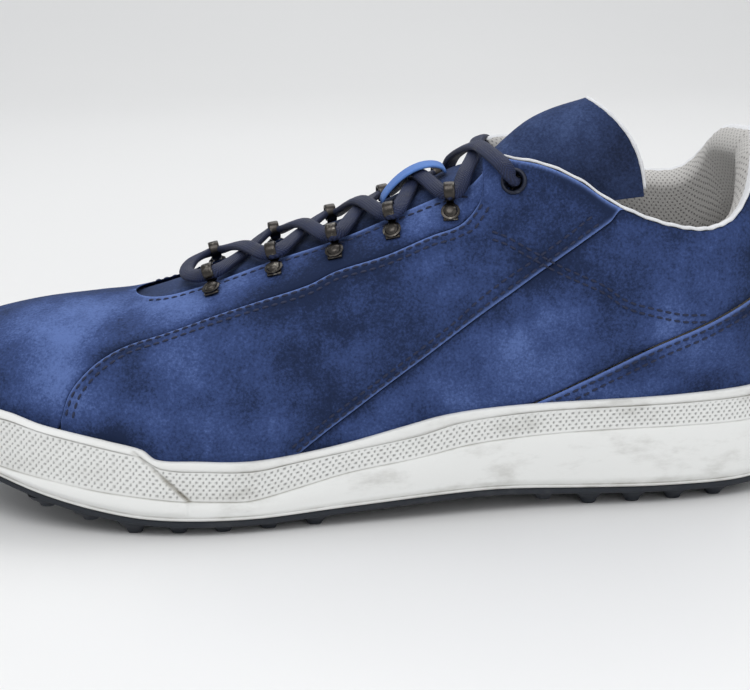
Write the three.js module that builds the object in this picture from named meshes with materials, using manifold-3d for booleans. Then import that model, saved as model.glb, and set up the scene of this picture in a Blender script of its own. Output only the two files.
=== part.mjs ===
// A left golf shoe, low cut: cupsole with a lugged rubber outsole, suede upper, riveted lace loops.
// Millimetres, +Z up. The toe points to -X, the heel to +X, and the outer (lateral) side faces -Y.
import * as THREE from 'three';
import { mergeVertices } from 'three/addons/utils/BufferGeometryUtils.js';
import Module from 'manifold-3d';

const wasm = await Module();
wasm.setup();

// ---------- driving dimensions ----------
const shoeLength = 300;
const ballWidth = 108;
const drawnBall = 108; // the ball width at which the seats over the instep were drawn
const flatter = ballWidth / drawnBall; // a wider last is flatter over the instep
const heelWidth = 75;
const heelAxisY = 5; // the heel is set a little to the inner side
const clearance = 0.3; // between pieces that touch

const plateThickness = 2.4;
const cupFloor = 3;
const cupWall = 5;
const foreStack = 12; // outsole underside to the top of the foam, under the ball
const heelStack = 20;
const boardThickness = 1.6;
const socklinerThickness = 4;
const lugPitch = 15;
const lugRadius = 3.6;
const shankSize = [92, 13, 1.4];

const suede = 1.6;
const layerGap = 0.8; // between the suede, the stiffeners and the lining
const stiffener = 1.1;
const lining = 1;
const collarPadding = 4.4;
const upperHeight = 119.5; // top of the heel tab
const collarDipLateral = 91.6;
const collarDipMedial = 100.2;

const throatFront = -74 / 150; // along the shoe, as a share of half its length
const throatRound = 18; // length of the rounded front of the throat
const facingHalfGap = 17.5;
const loopInset = 23.5; // rivet of a lace loop, from the middle of the throat
const loopPlaces = [-46.9, -26.4, -6.8, 11.9, 30.5].map((x) => x / 150);
const eyeletPlace = 50.7 / 150;
const eyeletInset = 27.8;
const rivetHole = 1.15;
const eyeletHole = 3.5;

const hingePlace = [45, 113.2]; // x and z of the crease that the tongue flap turns on
const flapRise = 28; // degrees
const flapLength = 38.5;
const flapY = 2;
const flapHalfWidth = 15.5;
const flapDepth = 33;
const tongueSuede = 1.4;
const tongueFoam = 2.4;
const laceDiameter = 2;

const colour = {
  suede: 0x2b4a9b,
  tongueSuede: 0x27438f,
  keeper: 0x5b86cf,
  sole: 0xe9e8e2,
  rubber: 0x2b2e35,
  foam: 0xd8d6cf,
  board: 0xb59a72,
  steel: 0x9aa0a6,
  mesh: 0xd6d3cd,
  stiffener: 0xc9bda6,
  lace: 0x2a3550,
  hardware: 0x3f3a36,
  aglet: 0x1c1f26,
};

// ---------- curves ----------
// A smooth curve through [place, value] pairs: Hermite arcs with each inner slope taken across its neighbours.
function through(pairs) {
  const n = pairs.length;
  const slope = pairs.map((p, i) => {
    const a = pairs[Math.max(i - 1, 0)];
    const b = pairs[Math.min(i + 1, n - 1)];
    return (b[1] - a[1]) / (b[0] - a[0]);
  });
  return (x) => {
    let i = 0;
    while (i < n - 2 && x > pairs[i + 1][0]) i += 1;
    const [x0, v0] = pairs[i];
    const [x1, v1] = pairs[i + 1];
    const w = x1 - x0;
    const u = THREE.MathUtils.clamp((x - x0) / w, 0, 1);
    const u2 = u * u;
    const u3 = u2 * u;
    return (
      v0 * (2 * u3 - 3 * u2 + 1) +
      slope[i] * w * (u3 - 2 * u2 + u) +
      v1 * (3 * u2 - 2 * u3) +
      slope[i + 1] * w * (u3 - u2)
    );
  };
}

const half = shoeLength / 2;
const deg = Math.PI / 180;
const stationX = (turn) => -half * Math.cos(turn * deg); // turn runs 0 at the toe tip to 180 at the heel
const turnAt = (place) => Math.acos(THREE.MathUtils.clamp(-place, -1, 1)) / deg;
const smooth = (a, b, x) => THREE.MathUtils.smoothstep(x, a, b);

// Half widths of the sole every 22.5 degrees, lateral then medial.
const B = ballWidth;
const H = heelWidth;
const lateralY = [
  0.093 * B, -0.195 * B, -0.407 * B, -0.5 * B, -0.43 * B,
  heelAxisY - 0.56 * H, heelAxisY - 0.5 * H, heelAxisY - 0.35 * H, heelAxisY,
];
const medialY = [
  0.093 * B, 0.325 * B, 0.47 * B, 0.495 * B, 0.4 * B,
  heelAxisY + 0.46 * H, heelAxisY + 0.49 * H, heelAxisY + 0.36 * H, heelAxisY,
];
const knotStep = 22.5;
function sideWidth(near, far) {
  const pairs = near.map((y, i) => [i * knotStep, y]);
  return through([[-knotStep, far[1]], ...pairs, [180 + knotStep, far[7]]]);
}
const widthOf = { '-1': sideWidth(lateralY, medialY), 1: sideWidth(medialY, lateralY) };

// A point of the sole's outline, moved inwards by inset.
function outline(side, turn, inset) {
  const step = 0.5;
  const dx = half * Math.sin(turn * deg) * deg;
  const dy = (widthOf[side](turn + step) - widthOf[side](turn - step)) / (2 * step);
  const run = Math.hypot(dx, dy);
  const x = stationX(turn) - (side * inset * -dy) / run;
  const y = widthOf[side](turn) - (side * inset * dx) / run;
  return new THREE.Vector2(x, y);
}

// Heights along the shoe, by share of half its length.
const plateBottomAt = through([
  [-1, 25], [-0.77, 14.5], [-0.67, 10], [-0.56, 6.3], [-0.46, 4], [-0.34, 3.1], [-0.21, 2.9],
  [-0.07, 4], [0.13, 5.6], [0.29, 6.2], [0.47, 5], [0.67, 4.2], [0.87, 4], [1, 6.5],
]);
const rimAt = through([
  [-1, 43], [-0.76, 38.6], [-0.69, 35.8], [-0.61, 33.6], [-0.54, 31.6], [-0.465, 28.9],
  [-0.435, 25.7], [-0.35, 24.9], [-0.23, 24], [-0.12, 25.5], [-0.02, 28], [0.09, 31.7],
  [0.19, 34.8], [0.31, 36.2], [0.53, 36.8], [0.75, 37.4], [1, 38.5],
]);
const plateBottom = (x) => plateBottomAt(x / half);
const rim = (x) => rimAt(x / half);
const stack = (x) => foreStack + (heelStack - foreStack) * smooth(-0.15, 0.45, x / half);
const foamTop = (x) => plateBottom(x) + stack(x);
const cupFloorTop = (x) => plateBottom(x) + plateThickness + clearance + cupFloor;

// ---------- the shape of the foot's last ----------
const ridgeZ = through([
  [-0.813, 61], [-0.7, 65], [-0.58, 66.8], [-0.49, 68.4], [-0.35, 75], [-0.24, 81],
  [-0.02, 93], [0.12, 102.5], [0.28, 113.5], [0.5, 122],
]);
const ridgeY = through([
  [0, 9], [45, 7], [67.5, 3], [90, 0.5], [112.5, 1.5], [140, heelAxisY], [180, heelAxisY],
]);
const topX = through([
  [0, -0.813], [22.5, -0.78], [45, -0.675], [67.5, -0.387], [90, 0], [112.5, 0.383],
  [135, 0.693], [157.5, 0.853], [180, 0.913],
]);
const collarFrontZ = upperHeight - 4.8;
const dipL = collarDipLateral;
const dipM = collarDipMedial;
const toplineZ = {
  '-1': through([
    [100, 109], [106, collarFrontZ], [112.5, collarFrontZ - 0.6], [118, dipL + 17.6],
    [123, dipL + 10.2], [129, dipL + 4.4], [135, dipL + 1.2], [141, dipL], [146, dipL + 0.8],
    [151, dipL + 3], [157.5, dipL + 9.6], [163, upperHeight - 10], [168, upperHeight - 4],
    [180, upperHeight],
  ]),
  1: through([
    [100, 109], [106, collarFrontZ], [112.5, collarFrontZ - 0.2], [118, dipM + 11.2],
    [123, dipM + 6.8], [129, dipM + 3.3], [135, dipM + 0.4], [141, dipM], [146, dipM + 1.4],
    [151, dipM + 5.3], [157.5, upperHeight - 7], [163, upperHeight - 2.7],
    [168, upperHeight - 1.2], [180, upperHeight],
  ]),
};
const collarOpens = 104; // where the ridge parts into the two sides of the topline
const collarReach = through([
  [collarOpens, 0], [109, 23.5], [112.5, 28], [123, 33.6], [135, 34.4], [146, 31.6], [157.5, 26.5],
  [168, 15.5], [180, 0],
]);
const bendLimit = through([
  [0, 78], [45, 84], [67.5, 86], [90, 86], [103, 85], [108, 70], [114, 56], [146, 50], [180, 50],
]);
const bulge = through([[0, 0], [60, 0], [90, 1], [135, 2.5], [160, 4.5], [180, 6]]);
const fullness = through([[0, 0.9], [45, 0.76], [67.5, 0.68], [103, 0.66], [112, 0.8], [130, 0.95], [180, 1]]);

const feather = (side, turn) => {
  const p = outline(side, turn, cupWall + clearance);
  return new THREE.Vector3(p.x, p.y, foamTop(p.x) + clearance);
};
const top = (side, turn) => {
  const x = topX(turn) * half;
  const y = ridgeY(turn);
  if (turn <= collarOpens) return new THREE.Vector3(x, y, ridgeZ(x / half));
  const rise = smooth(collarOpens, 109, turn);
  const z = THREE.MathUtils.lerp(ridgeZ(x / half), toplineZ[side](turn), rise);
  return new THREE.Vector3(x, y + side * collarReach(turn), z);
};

// The section's arc: a quarter of a superellipse cut off at its end angle. across and rise run 0 to 1.
function arc(turn) {
  const power = fullness(turn);
  const end = bendLimit(turn) * deg;
  const fullRise = Math.sin(end) ** power;
  const fullAcross = 1 - Math.cos(end) ** power;
  return {
    across: (up) => (1 - Math.cos(up * end) ** power) / fullAcross,
    rise: (up) => Math.sin(up * end) ** power / fullRise,
    upAcross: (share) => Math.acos((1 - share * fullAcross) ** (1 / power)) / end,
    upRise: (share) => Math.asin((share * fullRise) ** (1 / power)) / end,
  };
}

// The share of the way up at which the last reaches a height, or a distance from the middle line.
function upAtHeight(side, turn, z) {
  const f = feather(side, turn).z;
  const t = top(side, turn).z;
  return arc(turn).upRise(THREE.MathUtils.clamp((z - f) / (t - f), 0, 1));
}
function upAtReach(side, turn, reach) {
  const f = feather(side, turn).y;
  const t = top(side, turn).y;
  const share = THREE.MathUtils.clamp((ridgeY(turn) + side * reach - f) / (t - f), 0, 1);
  return arc(turn).upAcross(share);
}

// A point of the last, from the feather edge (up = 0) to the top (up = 1),
// pushed out along the outline by a bulge that starts above the rim of the cupsole.
function last(side, turn, up) {
  const f = feather(side, turn);
  const t = top(side, turn);
  const { across, rise } = arc(turn);
  const out = outline(side, turn, 0).sub(outline(side, turn, 1));
  const start = upAtHeight(side, turn, rim(f.x) + 6);
  const free = THREE.MathUtils.clamp((up - start) / (1 - start), 0, 1);
  const push = bulge(turn) * Math.sin(Math.PI * free ** 0.7);
  return new THREE.Vector3(
    THREE.MathUtils.lerp(f.x, t.x, across(up)) + out.x * push,
    THREE.MathUtils.lerp(f.y, t.y, across(up)) + out.y * push,
    THREE.MathUtils.lerp(f.z, t.z, rise(up)),
  );
}

function slopes(side, turn, up) {
  const dt = 0.5;
  const du = 0.01;
  const t = THREE.MathUtils.clamp(turn, 1.5, 178.5);
  const u = THREE.MathUtils.clamp(up, du, 1 - du);
  const along = last(side, t + dt, u).sub(last(side, t - dt, u)).normalize();
  const climb = last(side, t, u + du).sub(last(side, t, u - du)).normalize();
  const out = new THREE.Vector3().crossVectors(along, climb).multiplyScalar(-side).normalize();
  return { along, climb, out };
}

// The outward direction, evened out where the two sides meet on the ridge, the toe and the heel.
function outward(side, turn, up) {
  const n = slopes(side, turn, up).out;
  const meets = (up > 0.999 && turn < collarOpens) || turn < 0.01 || turn > 179.99;
  return meets ? n.add(slopes(-side, turn, up).out).normalize() : n;
}
const skin = (side, turn, up, depth) =>
  last(side, turn, up).addScaledVector(outward(side, turn, up), -depth);

// ---------- seams of the upper, heights by share of half the length ----------
const vampSeam = through([
  [-0.65, 34], [-0.633, 42.8], [-0.612, 47.8], [-0.57, 53.3], [-0.51, 57.7], [-0.41, 62.5],
  [-0.3, 67.8], [-0.2, 72.5], [-0.1, 76.9], [-0.04, 80.9], [0.068, 85.9], [0.163, 91.6],
  [0.226, 94.9], [0.26, 99.6], [0.277, 105.5], [0.281, 114],
]);
const sideSeam = through([
  [-0.13, 24], [-0.1, 27.5], [0, 38.5], [0.1, 49], [0.2, 59.5], [0.3, 70], [0.4, 80.5],
  [0.46, 86.8], [0.52, 93.1], [0.585, 100],
]);
const heelSeam = through([
  [0.37, 34.8], [0.453, 40], [0.557, 47.4], [0.66, 54.6], [0.785, 61.7], [0.86, 66.8], [1, 78],
]);
const vampFoot = turnAt(-0.647);
const vampTop = turnAt(0.28);
const sideFoot = turnAt(-0.132);
const sideTop = turnAt(0.58);
const heelFoot = turnAt(0.365);
const seamGap = 0.3; // each side of a seam
const seamTurn = 0.16; // degrees each side of the foot of a seam
const heelPart = 0.25; // degrees kept free at the middle of the heel for each millimetre of suede

const share = (turn) => -Math.cos(turn * deg);
const alongSeam = (seam, offset) => (side, turn) => upAtHeight(side, turn, seam(share(turn)) + offset);
const bottom = () => 0;
const topEdge = () => 1;
function throatEdge(side, turn) {
  const x = topX(turn) * half;
  const start = throatFront * half;
  if (x <= start) return 1;
  const u = Math.min((x - start) / throatRound, 1);
  const reach = facingHalfGap * Math.sqrt(1 - (1 - u) ** 2);
  return upAtReach(side, turn, reach);
}

// ---------- meshing ----------
const turnStep = 7.5;
const throatTurns = [0.01, 3, 8, 14].map((run) => {
  const x = throatFront * half + run;
  let turn = turnAt(x / half);
  for (let i = 0; i < 6; i += 1) turn += (x - topX(turn) * half) / (half * Math.sin(turn * deg) * deg);
  return turn;
});
const specialTurns = [
  ...throatTurns, turnAt(-0.635), turnAt(-0.62), turnAt(-0.6), turnAt(-0.12), turnAt(-0.09),
  turnAt(0.2), turnAt(0.24), turnAt(0.5), turnAt(0.54), 109,
];
const allTurns = [...Array(180 / turnStep + 1).keys()].map((i) => i * turnStep).concat(specialTurns);
function turnsBetween(from, to) {
  const inner = allTurns.filter((t) => t > from + 0.7 && t < to - 0.7);
  const sorted = [from, ...inner, to].sort((a, b) => a - b);
  return sorted.filter((t, i) => i === 0 || t === to || (t - sorted[i - 1] > 0.35 && to - t > 0.3));
}

// A closed solid between two matching sets of points: sheets of quads, and walls round their rims.
class Slabber {
  constructor() {
    this.index = new Map();
    this.outer = [];
    this.inner = [];
    this.faces = [];
  }

  vertex(outer, inner) {
    const key = outer.toArray().map((v) => Math.round(v * 500)).join();
    if (!this.index.has(key)) {
      this.index.set(key, this.outer.length);
      this.outer.push(outer);
      this.inner.push(inner);
    }
    return this.index.get(key);
  }

  sheet(columns, rows, pointAt, flipped) {
    const ids = columns.map((c, i) =>
      [...Array(rows + 1).keys()].map((j) => this.vertex(...pointAt(c, j / rows, i))));
    for (let i = 0; i + 1 < columns.length; i += 1) {
      for (let j = 0; j < rows; j += 1) {
        const quad = [ids[i][j], ids[i + 1][j], ids[i + 1][j + 1], ids[i][j + 1]];
        if (flipped) quad.reverse();
        this.faces.push([quad[0], quad[1], quad[2]], [quad[0], quad[2], quad[3]]);
      }
    }
  }

  geometry() {
    const n = this.outer.length;
    const faces = this.faces.filter(([a, b, c]) => a !== b && b !== c && c !== a);
    const edges = new Set(faces.flatMap(([a, b, c]) => [`${a},${b}`, `${b},${c}`, `${c},${a}`]));
    const indices = faces.flat();
    for (const [a, b, c] of faces) indices.push(a + n, c + n, b + n);
    for (const edge of edges) {
      const [a, b] = edge.split(',').map(Number);
      if (edges.has(`${b},${a}`)) continue;
      indices.push(b, a, a + n, b, a + n, b + n);
    }
    const points = [...this.outer, ...this.inner].flatMap((p) => p.toArray());
    const geometry = new THREE.BufferGeometry();
    geometry.setAttribute('position', new THREE.Float32BufferAttribute(points, 3));
    geometry.setIndex(indices);
    return geometry;
  }
}

// A panel of the upper: for each side, from a turn to a turn, between a low and a high edge.
function panel(pieces, outerDepth, innerDepth) {
  const slab = new Slabber();
  for (const { sides = [-1, 1], from, to, low, high, rows } of pieces) {
    for (const side of sides) {
      const place = (turn, v) => {
        const up = THREE.MathUtils.lerp(low(side, turn), high(side, turn), v);
        return [skin(side, turn, up, outerDepth(up, turn)), skin(side, turn, up, innerDepth(up, turn))];
      };
      slab.sheet(turnsBetween(from, to), rows, place, side > 0);
    }
  }
  return slab.geometry();
}
const depth = (value) => () => value;

// A flat layer of the sole: the outline moved in, between two heights.
function layer(insetLow, insetHigh, lowZ, highZ, rows, extra = []) {
  const slab = new Slabber();
  const place = (turn, v) => {
    const spot = (inset, height) => {
      const p = outline(-1, turn, inset).lerp(outline(1, turn, inset), v);
      return new THREE.Vector3(p.x, p.y, height(p.x));
    };
    return [spot(insetHigh, highZ), spot(insetLow, lowZ)];
  };
  const turns = [...Array(25).keys()].map((i) => i * 7.5).concat(extra).sort((a, b) => a - b);
  slab.sheet(turns, rows, place, false);
  return slab.geometry();
}

function solid(geometry) {
  const bare = geometry.clone();
  bare.deleteAttribute('normal');
  bare.deleteAttribute('uv');
  const merged = mergeVertices(bare, 1e-4);
  return new wasm.Manifold(new wasm.Mesh({
    numProp: 3,
    vertProperties: merged.attributes.position.array,
    triVerts: new Uint32Array(merged.index.array),
  }));
}
function geometryOf(body) {
  const mesh = body.getMesh();
  const geometry = new THREE.BufferGeometry();
  geometry.setAttribute('position', new THREE.Float32BufferAttribute(mesh.vertProperties, 3));
  geometry.setIndex(new THREE.BufferAttribute(mesh.triVerts, 1));
  return geometry.toNonIndexed();
}

// ---------- the assembly ----------
const shoe = new THREE.Group();
const finish = {
  suede: [colour.suede, 0.95, 0],
  tongueSuede: [colour.tongueSuede, 0.95, 0],
  keeper: [colour.keeper, 0.9, 0],
  sole: [colour.sole, 0.55, 0],
  rubber: [colour.rubber, 0.7, 0],
  foam: [colour.foam, 0.9, 0],
  board: [colour.board, 0.9, 0],
  steel: [colour.steel, 0.35, 1],
  mesh: [colour.mesh, 0.95, 0],
  stiffener: [colour.stiffener, 0.9, 0],
  lace: [colour.lace, 0.8, 0],
  hardware: [colour.hardware, 0.4, 1],
  aglet: [colour.aglet, 0.3, 0],
};
function add(name, geometry, look, frame) {
  const [color, roughness, metalness] = finish[look];
  const mesh = new THREE.Mesh(geometry, new THREE.MeshStandardMaterial({ color, roughness, metalness }));
  mesh.name = name;
  if (frame) {
    mesh.position.copy(frame.origin);
    mesh.quaternion.setFromRotationMatrix(new THREE.Matrix4().makeBasis(...frame.axes));
  }
  shoe.add(mesh);
  return mesh;
}
function placed(geometry, frame) {
  const matrix = new THREE.Matrix4().makeBasis(...frame.axes).setPosition(frame.origin);
  return geometry.clone().applyMatrix4(matrix);
}

// ----- sole unit -----
function lug(x, y) {
  const under = plateBottom(x);
  const tip = under < 5.3 ? 0 : under - 3.2;
  const height = under + plateThickness / 2 - tip;
  const shape = new THREE.CylinderGeometry(lugRadius, lugRadius * 0.7, height, 4, 1);
  shape.rotateY(Math.PI / 4);
  shape.rotateX(Math.PI / 2);
  shape.translate(x, y, tip + height / 2);
  return solid(shape);
}
function makeOutsole() {
  const edge = 1.2;
  const low = (x) => plateBottom(x);
  const high = (x) => plateBottom(x) + plateThickness;
  let body = solid(layer(edge + 1, edge, low, high, 4));
  const zones = [[-104, -6], [62, 130]];
  for (const [start, end] of zones) {
    for (let x = start; x <= end; x += lugPitch) {
      const place = (x / 150) * half;
      const turn = turnAt(place / half);
      const sides = [-1, 1].map((side) => outline(side, turn, edge + 1 + lugRadius));
      const inner = Math.max(Math.round((sides[1].y - sides[0].y) / (1.6 * lugPitch)), 1);
      for (let k = 0; k <= inner; k += 1) {
        const p = sides[0].clone().lerp(sides[1], k / inner);
        body = body.add(lug(p.x, p.y));
      }
    }
  }
  return geometryOf(body);
}
function makeCupsole() {
  const bottomZ = (x) => plateBottom(x) + plateThickness + clearance;
  const toeCapEnd = [-0.475, -0.462, -0.438, -0.425].map(turnAt);
  const outer = solid(layer(0, 1.6, bottomZ, rim, 4, toeCapEnd));
  const hollow = solid(layer(cupWall, cupWall, cupFloorTop, () => 90, 4));
  return geometryOf(outer.subtract(hollow));
}
const shankStart = -0.12 * half;
function shankLayer(grow) {
  const [length, width, thick] = shankSize;
  const slab = new Slabber();
  const steps = [0, 0.25, 0.5, 0.75, 1];
  const place = (u, v) => {
    const x = shankStart - grow + u * (length + 2 * grow);
    const y = heelAxisY + (v - 0.5) * (width + 2 * grow);
    const z = foamTop(x);
    return [new THREE.Vector3(x, y, z + (grow ? 5 : -clearance)), new THREE.Vector3(x, y, z - thick - clearance - grow)];
  };
  slab.sheet(steps, 1, place, false);
  return slab.geometry();
}
function makeFoamInsert() {
  const inset = cupWall + clearance;
  const body = solid(layer(inset, inset, (x) => cupFloorTop(x) + clearance, foamTop, 4));
  return geometryOf(body.subtract(solid(shankLayer(clearance))));
}
const bedInset = cupWall + clearance + suede + layerGap + stiffener + layerGap + lining + 1;
const boardBottom = (x) => foamTop(x) + clearance;
const boardTop = (x) => boardBottom(x) + boardThickness;
const bedInsetHeel = bedInset + 2;

add('outsole', makeOutsole(), 'rubber');
add('cupsole', makeCupsole(), 'sole');
add('midsole_foam_insert', makeFoamInsert(), 'foam');
add('shank', shankLayer(0), 'steel');
add('insole_board', layer(bedInset, bedInset, boardBottom, boardTop, 3), 'board');
add(
  'sockliner',
  layer(bedInsetHeel, bedInsetHeel, (x) => boardTop(x) + clearance, (x) => boardTop(x) + clearance + socklinerThickness, 3),
  'mesh',
);

// ----- hardware frames on the facings -----
function frameAt(side, place, reach) {
  let turn = turnAt(place);
  for (let i = 0; i < 4; i += 1) {
    const p = last(side, turn, upAtReach(side, turn, reach));
    turn += (place * half - p.x) / (half * Math.sin(turn * deg) * deg);
  }
  const up = upAtReach(side, turn, reach);
  const { climb, out } = slopes(side, turn, up);
  const along = new THREE.Vector3().crossVectors(climb, out).normalize();
  return { origin: last(side, turn, up), axes: [along, climb, out] };
}
const sideName = { '-1': 'lateral', 1: 'medial' };
const loopFrames = [-1, 1].flatMap((side) =>
  loopPlaces.map((place, i) => ({ side, name: `${sideName[side]}_${i + 1}`, ...frameAt(side, place, loopInset) })));
const eyeletFrames = [-1, 1].map((side) => ({ side, name: sideName[side], ...frameAt(side, eyeletPlace, eyeletInset) }));

function pin(radius, low, high, sides) {
  const shape = new THREE.CylinderGeometry(radius, radius, high - low, sides, 1);
  shape.rotateX(Math.PI / 2);
  shape.translate(0, 0, (low + high) / 2);
  return shape;
}

// ----- suede upper -----
// Stretches of a panel whose low or high edge steps from one line to another at a turn.
function stepped(from, to, at, first, second, rest) {
  const before = at - seamTurn / 2;
  const after = at + seamTurn / 2;
  const pick = (edge) => (side, turn) => (turn < at ? first : second)[edge](side, turn);
  return [
    { ...rest, ...first, from, to: before },
    { ...rest, low: pick('low'), high: pick('high'), from: before, to: after },
    { ...rest, ...second, from: after, to },
  ];
}
const seamLine = {
  vampAbove: alongSeam(vampSeam, seamGap),
  vampBelow: alongSeam(vampSeam, -seamGap),
  sideAbove: alongSeam(sideSeam, seamGap),
  sideBelow: alongSeam(sideSeam, -seamGap),
  heelAbove: alongSeam(heelSeam, seamGap),
  heelBelow: alongSeam(heelSeam, -seamGap),
};
function makeVamp() {
  const rest = { rows: 6 };
  const high = throatEdge;
  const front = { low: bottom, high };
  const back = { low: seamLine.vampAbove, high };
  const stretches = stepped(0, throatTurns[0], vampFoot - 2 * seamTurn, front, back, rest);
  stretches.push({ ...rest, ...back, from: throatTurns[0], to: vampTop - 3 * seamTurn });
  let body = solid(panel(stretches, depth(0), depth(suede)));
  for (const frame of loopFrames) body = body.subtract(solid(placed(pin(rivetHole, -4, 3, 8), frame)));
  return geometryOf(body);
}
function makeOverlay(side) {
  const rest = { sides: [side], rows: 4 };
  const front = { low: bottom, high: seamLine.vampBelow };
  const middle = { low: seamLine.sideAbove, high: seamLine.vampBelow };
  const rear = { low: seamLine.sideAbove, high: topEdge };
  const stretches = stepped(vampFoot + seamTurn, 90, sideFoot - 2 * seamTurn, front, middle, rest);
  const vampEnd = vampTop - 3 * seamTurn;
  stretches.push({ ...rest, ...middle, from: 90, to: vampEnd });
  stretches.push(...stepped(vampEnd, sideTop - 2 * seamTurn, vampTop, middle, rear, rest));
  const body = solid(panel(stretches, depth(0), depth(suede)));
  const frame = eyeletFrames.find((f) => f.side === side);
  return geometryOf(body.subtract(solid(placed(pin(eyeletHole, -4, 3, 10), frame))));
}
function makeRearQuarter(side) {
  const rest = { sides: [side], rows: 4 };
  const front = { low: bottom, high: seamLine.sideBelow };
  const middle = { low: seamLine.heelAbove, high: seamLine.sideBelow };
  const rear = { low: seamLine.heelAbove, high: topEdge };
  const stretches = stepped(sideFoot + seamTurn, 117, heelFoot - 2 * seamTurn, front, middle, rest);
  stretches.push(...stepped(117, 180 - heelPart * suede, sideTop + seamTurn, middle, rear, rest));
  return panel(stretches, depth(0), depth(suede));
}
function makeHeelFoxing() {
  const high = seamLine.heelBelow;
  return panel([{ from: heelFoot + seamTurn, to: 180, low: bottom, high, rows: 5 }], depth(0), depth(suede));
}
add('vamp', makeVamp(), 'suede');
for (const side of [-1, 1]) {
  add(`quarter_overlay_${sideName[side]}`, makeOverlay(side), 'suede');
  add(`rear_quarter_${sideName[side]}`, makeRearQuarter(side), 'suede');
}
add('heel_foxing', makeHeelFoxing(), 'suede');

// ----- stiffeners, padding and lining -----
const stiffenerDepth = suede + layerGap;
const liningDepth = stiffenerDepth + stiffener + layerGap;
const padStart = 0.58;
const padded = (up, turn) => collarPadding * smooth(0.42, 0.72, up) * smooth(108, 122, turn);
const liningOuter = (up, turn) => liningDepth + padded(up, turn);
const liningInner = (up, turn) => liningOuter(up, turn) + lining;
const padInner = (up, turn) => Math.max(liningOuter(up, turn) - layerGap, stiffenerDepth + stiffener);
const collarStart = 112.5;
add(
  'toe_puff',
  panel([{ from: 0, to: 44, low: () => 0.06, high: () => 0.8, rows: 5 }], depth(stiffenerDepth), depth(stiffenerDepth + stiffener)),
  'stiffener',
);
add(
  'heel_counter',
  panel([{ from: 126, to: 180, low: () => 0.32, high: () => padStart - 0.03, rows: 4 }], depth(stiffenerDepth), depth(stiffenerDepth + stiffener)),
  'stiffener',
);
add(
  'collar_foam',
  panel([{ from: 116, to: 180, low: () => padStart, high: () => 0.985, rows: 3 }], depth(stiffenerDepth), padInner),
  'foam',
);
const liningTop = (side, turn) => {
  const x = topX(turn) * half;
  const start = throatFront * half - 6;
  if (x <= start) return 1;
  const u = Math.min((x - start) / (throatRound + 8), 1);
  return upAtReach(side, turn, (loopInset + 9) * Math.sqrt(1 - (1 - u) ** 2));
};
add(
  'vamp_lining',
  panel([{ from: 0, to: collarStart - 0.4, low: bottom, high: liningTop, rows: 5 }], liningOuter, liningInner),
  'mesh',
);
add(
  'collar_lining',
  panel([{ from: collarStart + 0.4, to: 180, low: bottom, high: topEdge, rows: 7 }], liningOuter, liningInner),
  'mesh',
);

// ----- tongue -----
const tongueHalf = 20.5;
const tongueStart = -62 / 150;
const tongueEnd = 42.5 / 150;
const tongueTuck = 2 * flatter; // how much deeper the tongue's edges lie, under the facings
// The instep under the tongue: the last as if it were closed along its ridge.
function instep(turn, y) {
  const side = y < ridgeY(turn) ? -1 : 1;
  const f = feather(side, turn);
  const x = topX(turn);
  const t = new THREE.Vector3(x * half, ridgeY(turn), ridgeZ(x));
  const across = (y - f.y) / (t.y - f.y);
  const power = fullness(Math.min(turn, 100));
  const rise = (1 - (1 - across) ** (2 / power)) ** (power / 2);
  return new THREE.Vector3(THREE.MathUtils.lerp(f.x, t.x, across), y, THREE.MathUtils.lerp(f.z, t.z, rise));
}
function tongueBase(outerDepth, innerDepth, start, end) {
  const slab = new Slabber();
  const sunk = (reach) => suede + clearance + tongueTuck * smooth(10, facingHalfGap - 1, Math.abs(reach));
  const place = (turn, v) => {
    const reach = (2 * v - 1) * tongueHalf;
    const y = ridgeY(turn) + reach;
    const along = instep(turn + 0.5, y).sub(instep(turn - 0.5, y));
    const over = instep(turn, y + 0.5).sub(instep(turn, y - 0.5));
    const out = along.cross(over).normalize();
    const spot = (deepness) => instep(turn, y).addScaledVector(out, -sunk(reach) - deepness);
    return [spot(outerDepth), spot(innerDepth)];
  };
  slab.sheet(turnsBetween(turnAt(start), turnAt(end)), 8, place, false);
  return slab.geometry();
}
const tongueLiningDepth = tongueSuede + clearance;
add('tongue_base', tongueBase(0, tongueSuede, tongueStart, tongueEnd), 'tongueSuede');
add('tongue_base_lining', tongueBase(tongueLiningDepth + 0.1, tongueLiningDepth + 1.6, tongueStart, tongueEnd), 'mesh');

// The flap: an arched sheet, square to a line that climbs backwards from the crease.
function flapLayer(outerDepth, innerDepth, trim) {
  const slab = new Slabber();
  const rise = flapRise * deg;
  const along = new THREE.Vector3(Math.cos(rise), 0, Math.sin(rise));
  const up = new THREE.Vector3(-Math.sin(rise), 0, Math.cos(rise));
  const start = new THREE.Vector3(hingePlace[0], flapY, hingePlace[1]);
  const place = (u, v) => {
    const angle = (v - 0.5) * Math.PI * 0.94;
    const spot = (inset) => {
      const reach = (flapHalfWidth - inset) * Math.sin(angle);
      const drop = -inset - (flapDepth - inset) * (1 - Math.cos(angle)) * THREE.MathUtils.lerp(0.62, 1, u);
      return start.clone()
        .addScaledVector(along, trim + u * (flapLength - 2 * trim))
        .addScaledVector(up, drop)
        .add(new THREE.Vector3(0, reach, 0));
    };
    return [spot(outerDepth), spot(innerDepth)];
  };
  slab.sheet([0, 0.33, 0.67, 1], 10, place, false);
  return slab.geometry();
}
const flapFoamDepth = tongueSuede + clearance;
const flapLiningDepth = flapFoamDepth + tongueFoam + clearance;
add('tongue_flap', flapLayer(0, tongueSuede, 0), 'tongueSuede');
add('tongue_flap_foam', flapLayer(flapFoamDepth, flapFoamDepth + tongueFoam, 1), 'foam');
add('tongue_flap_lining', flapLayer(flapLiningDepth, flapLiningDepth + 0.8, 0), 'mesh');

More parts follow.
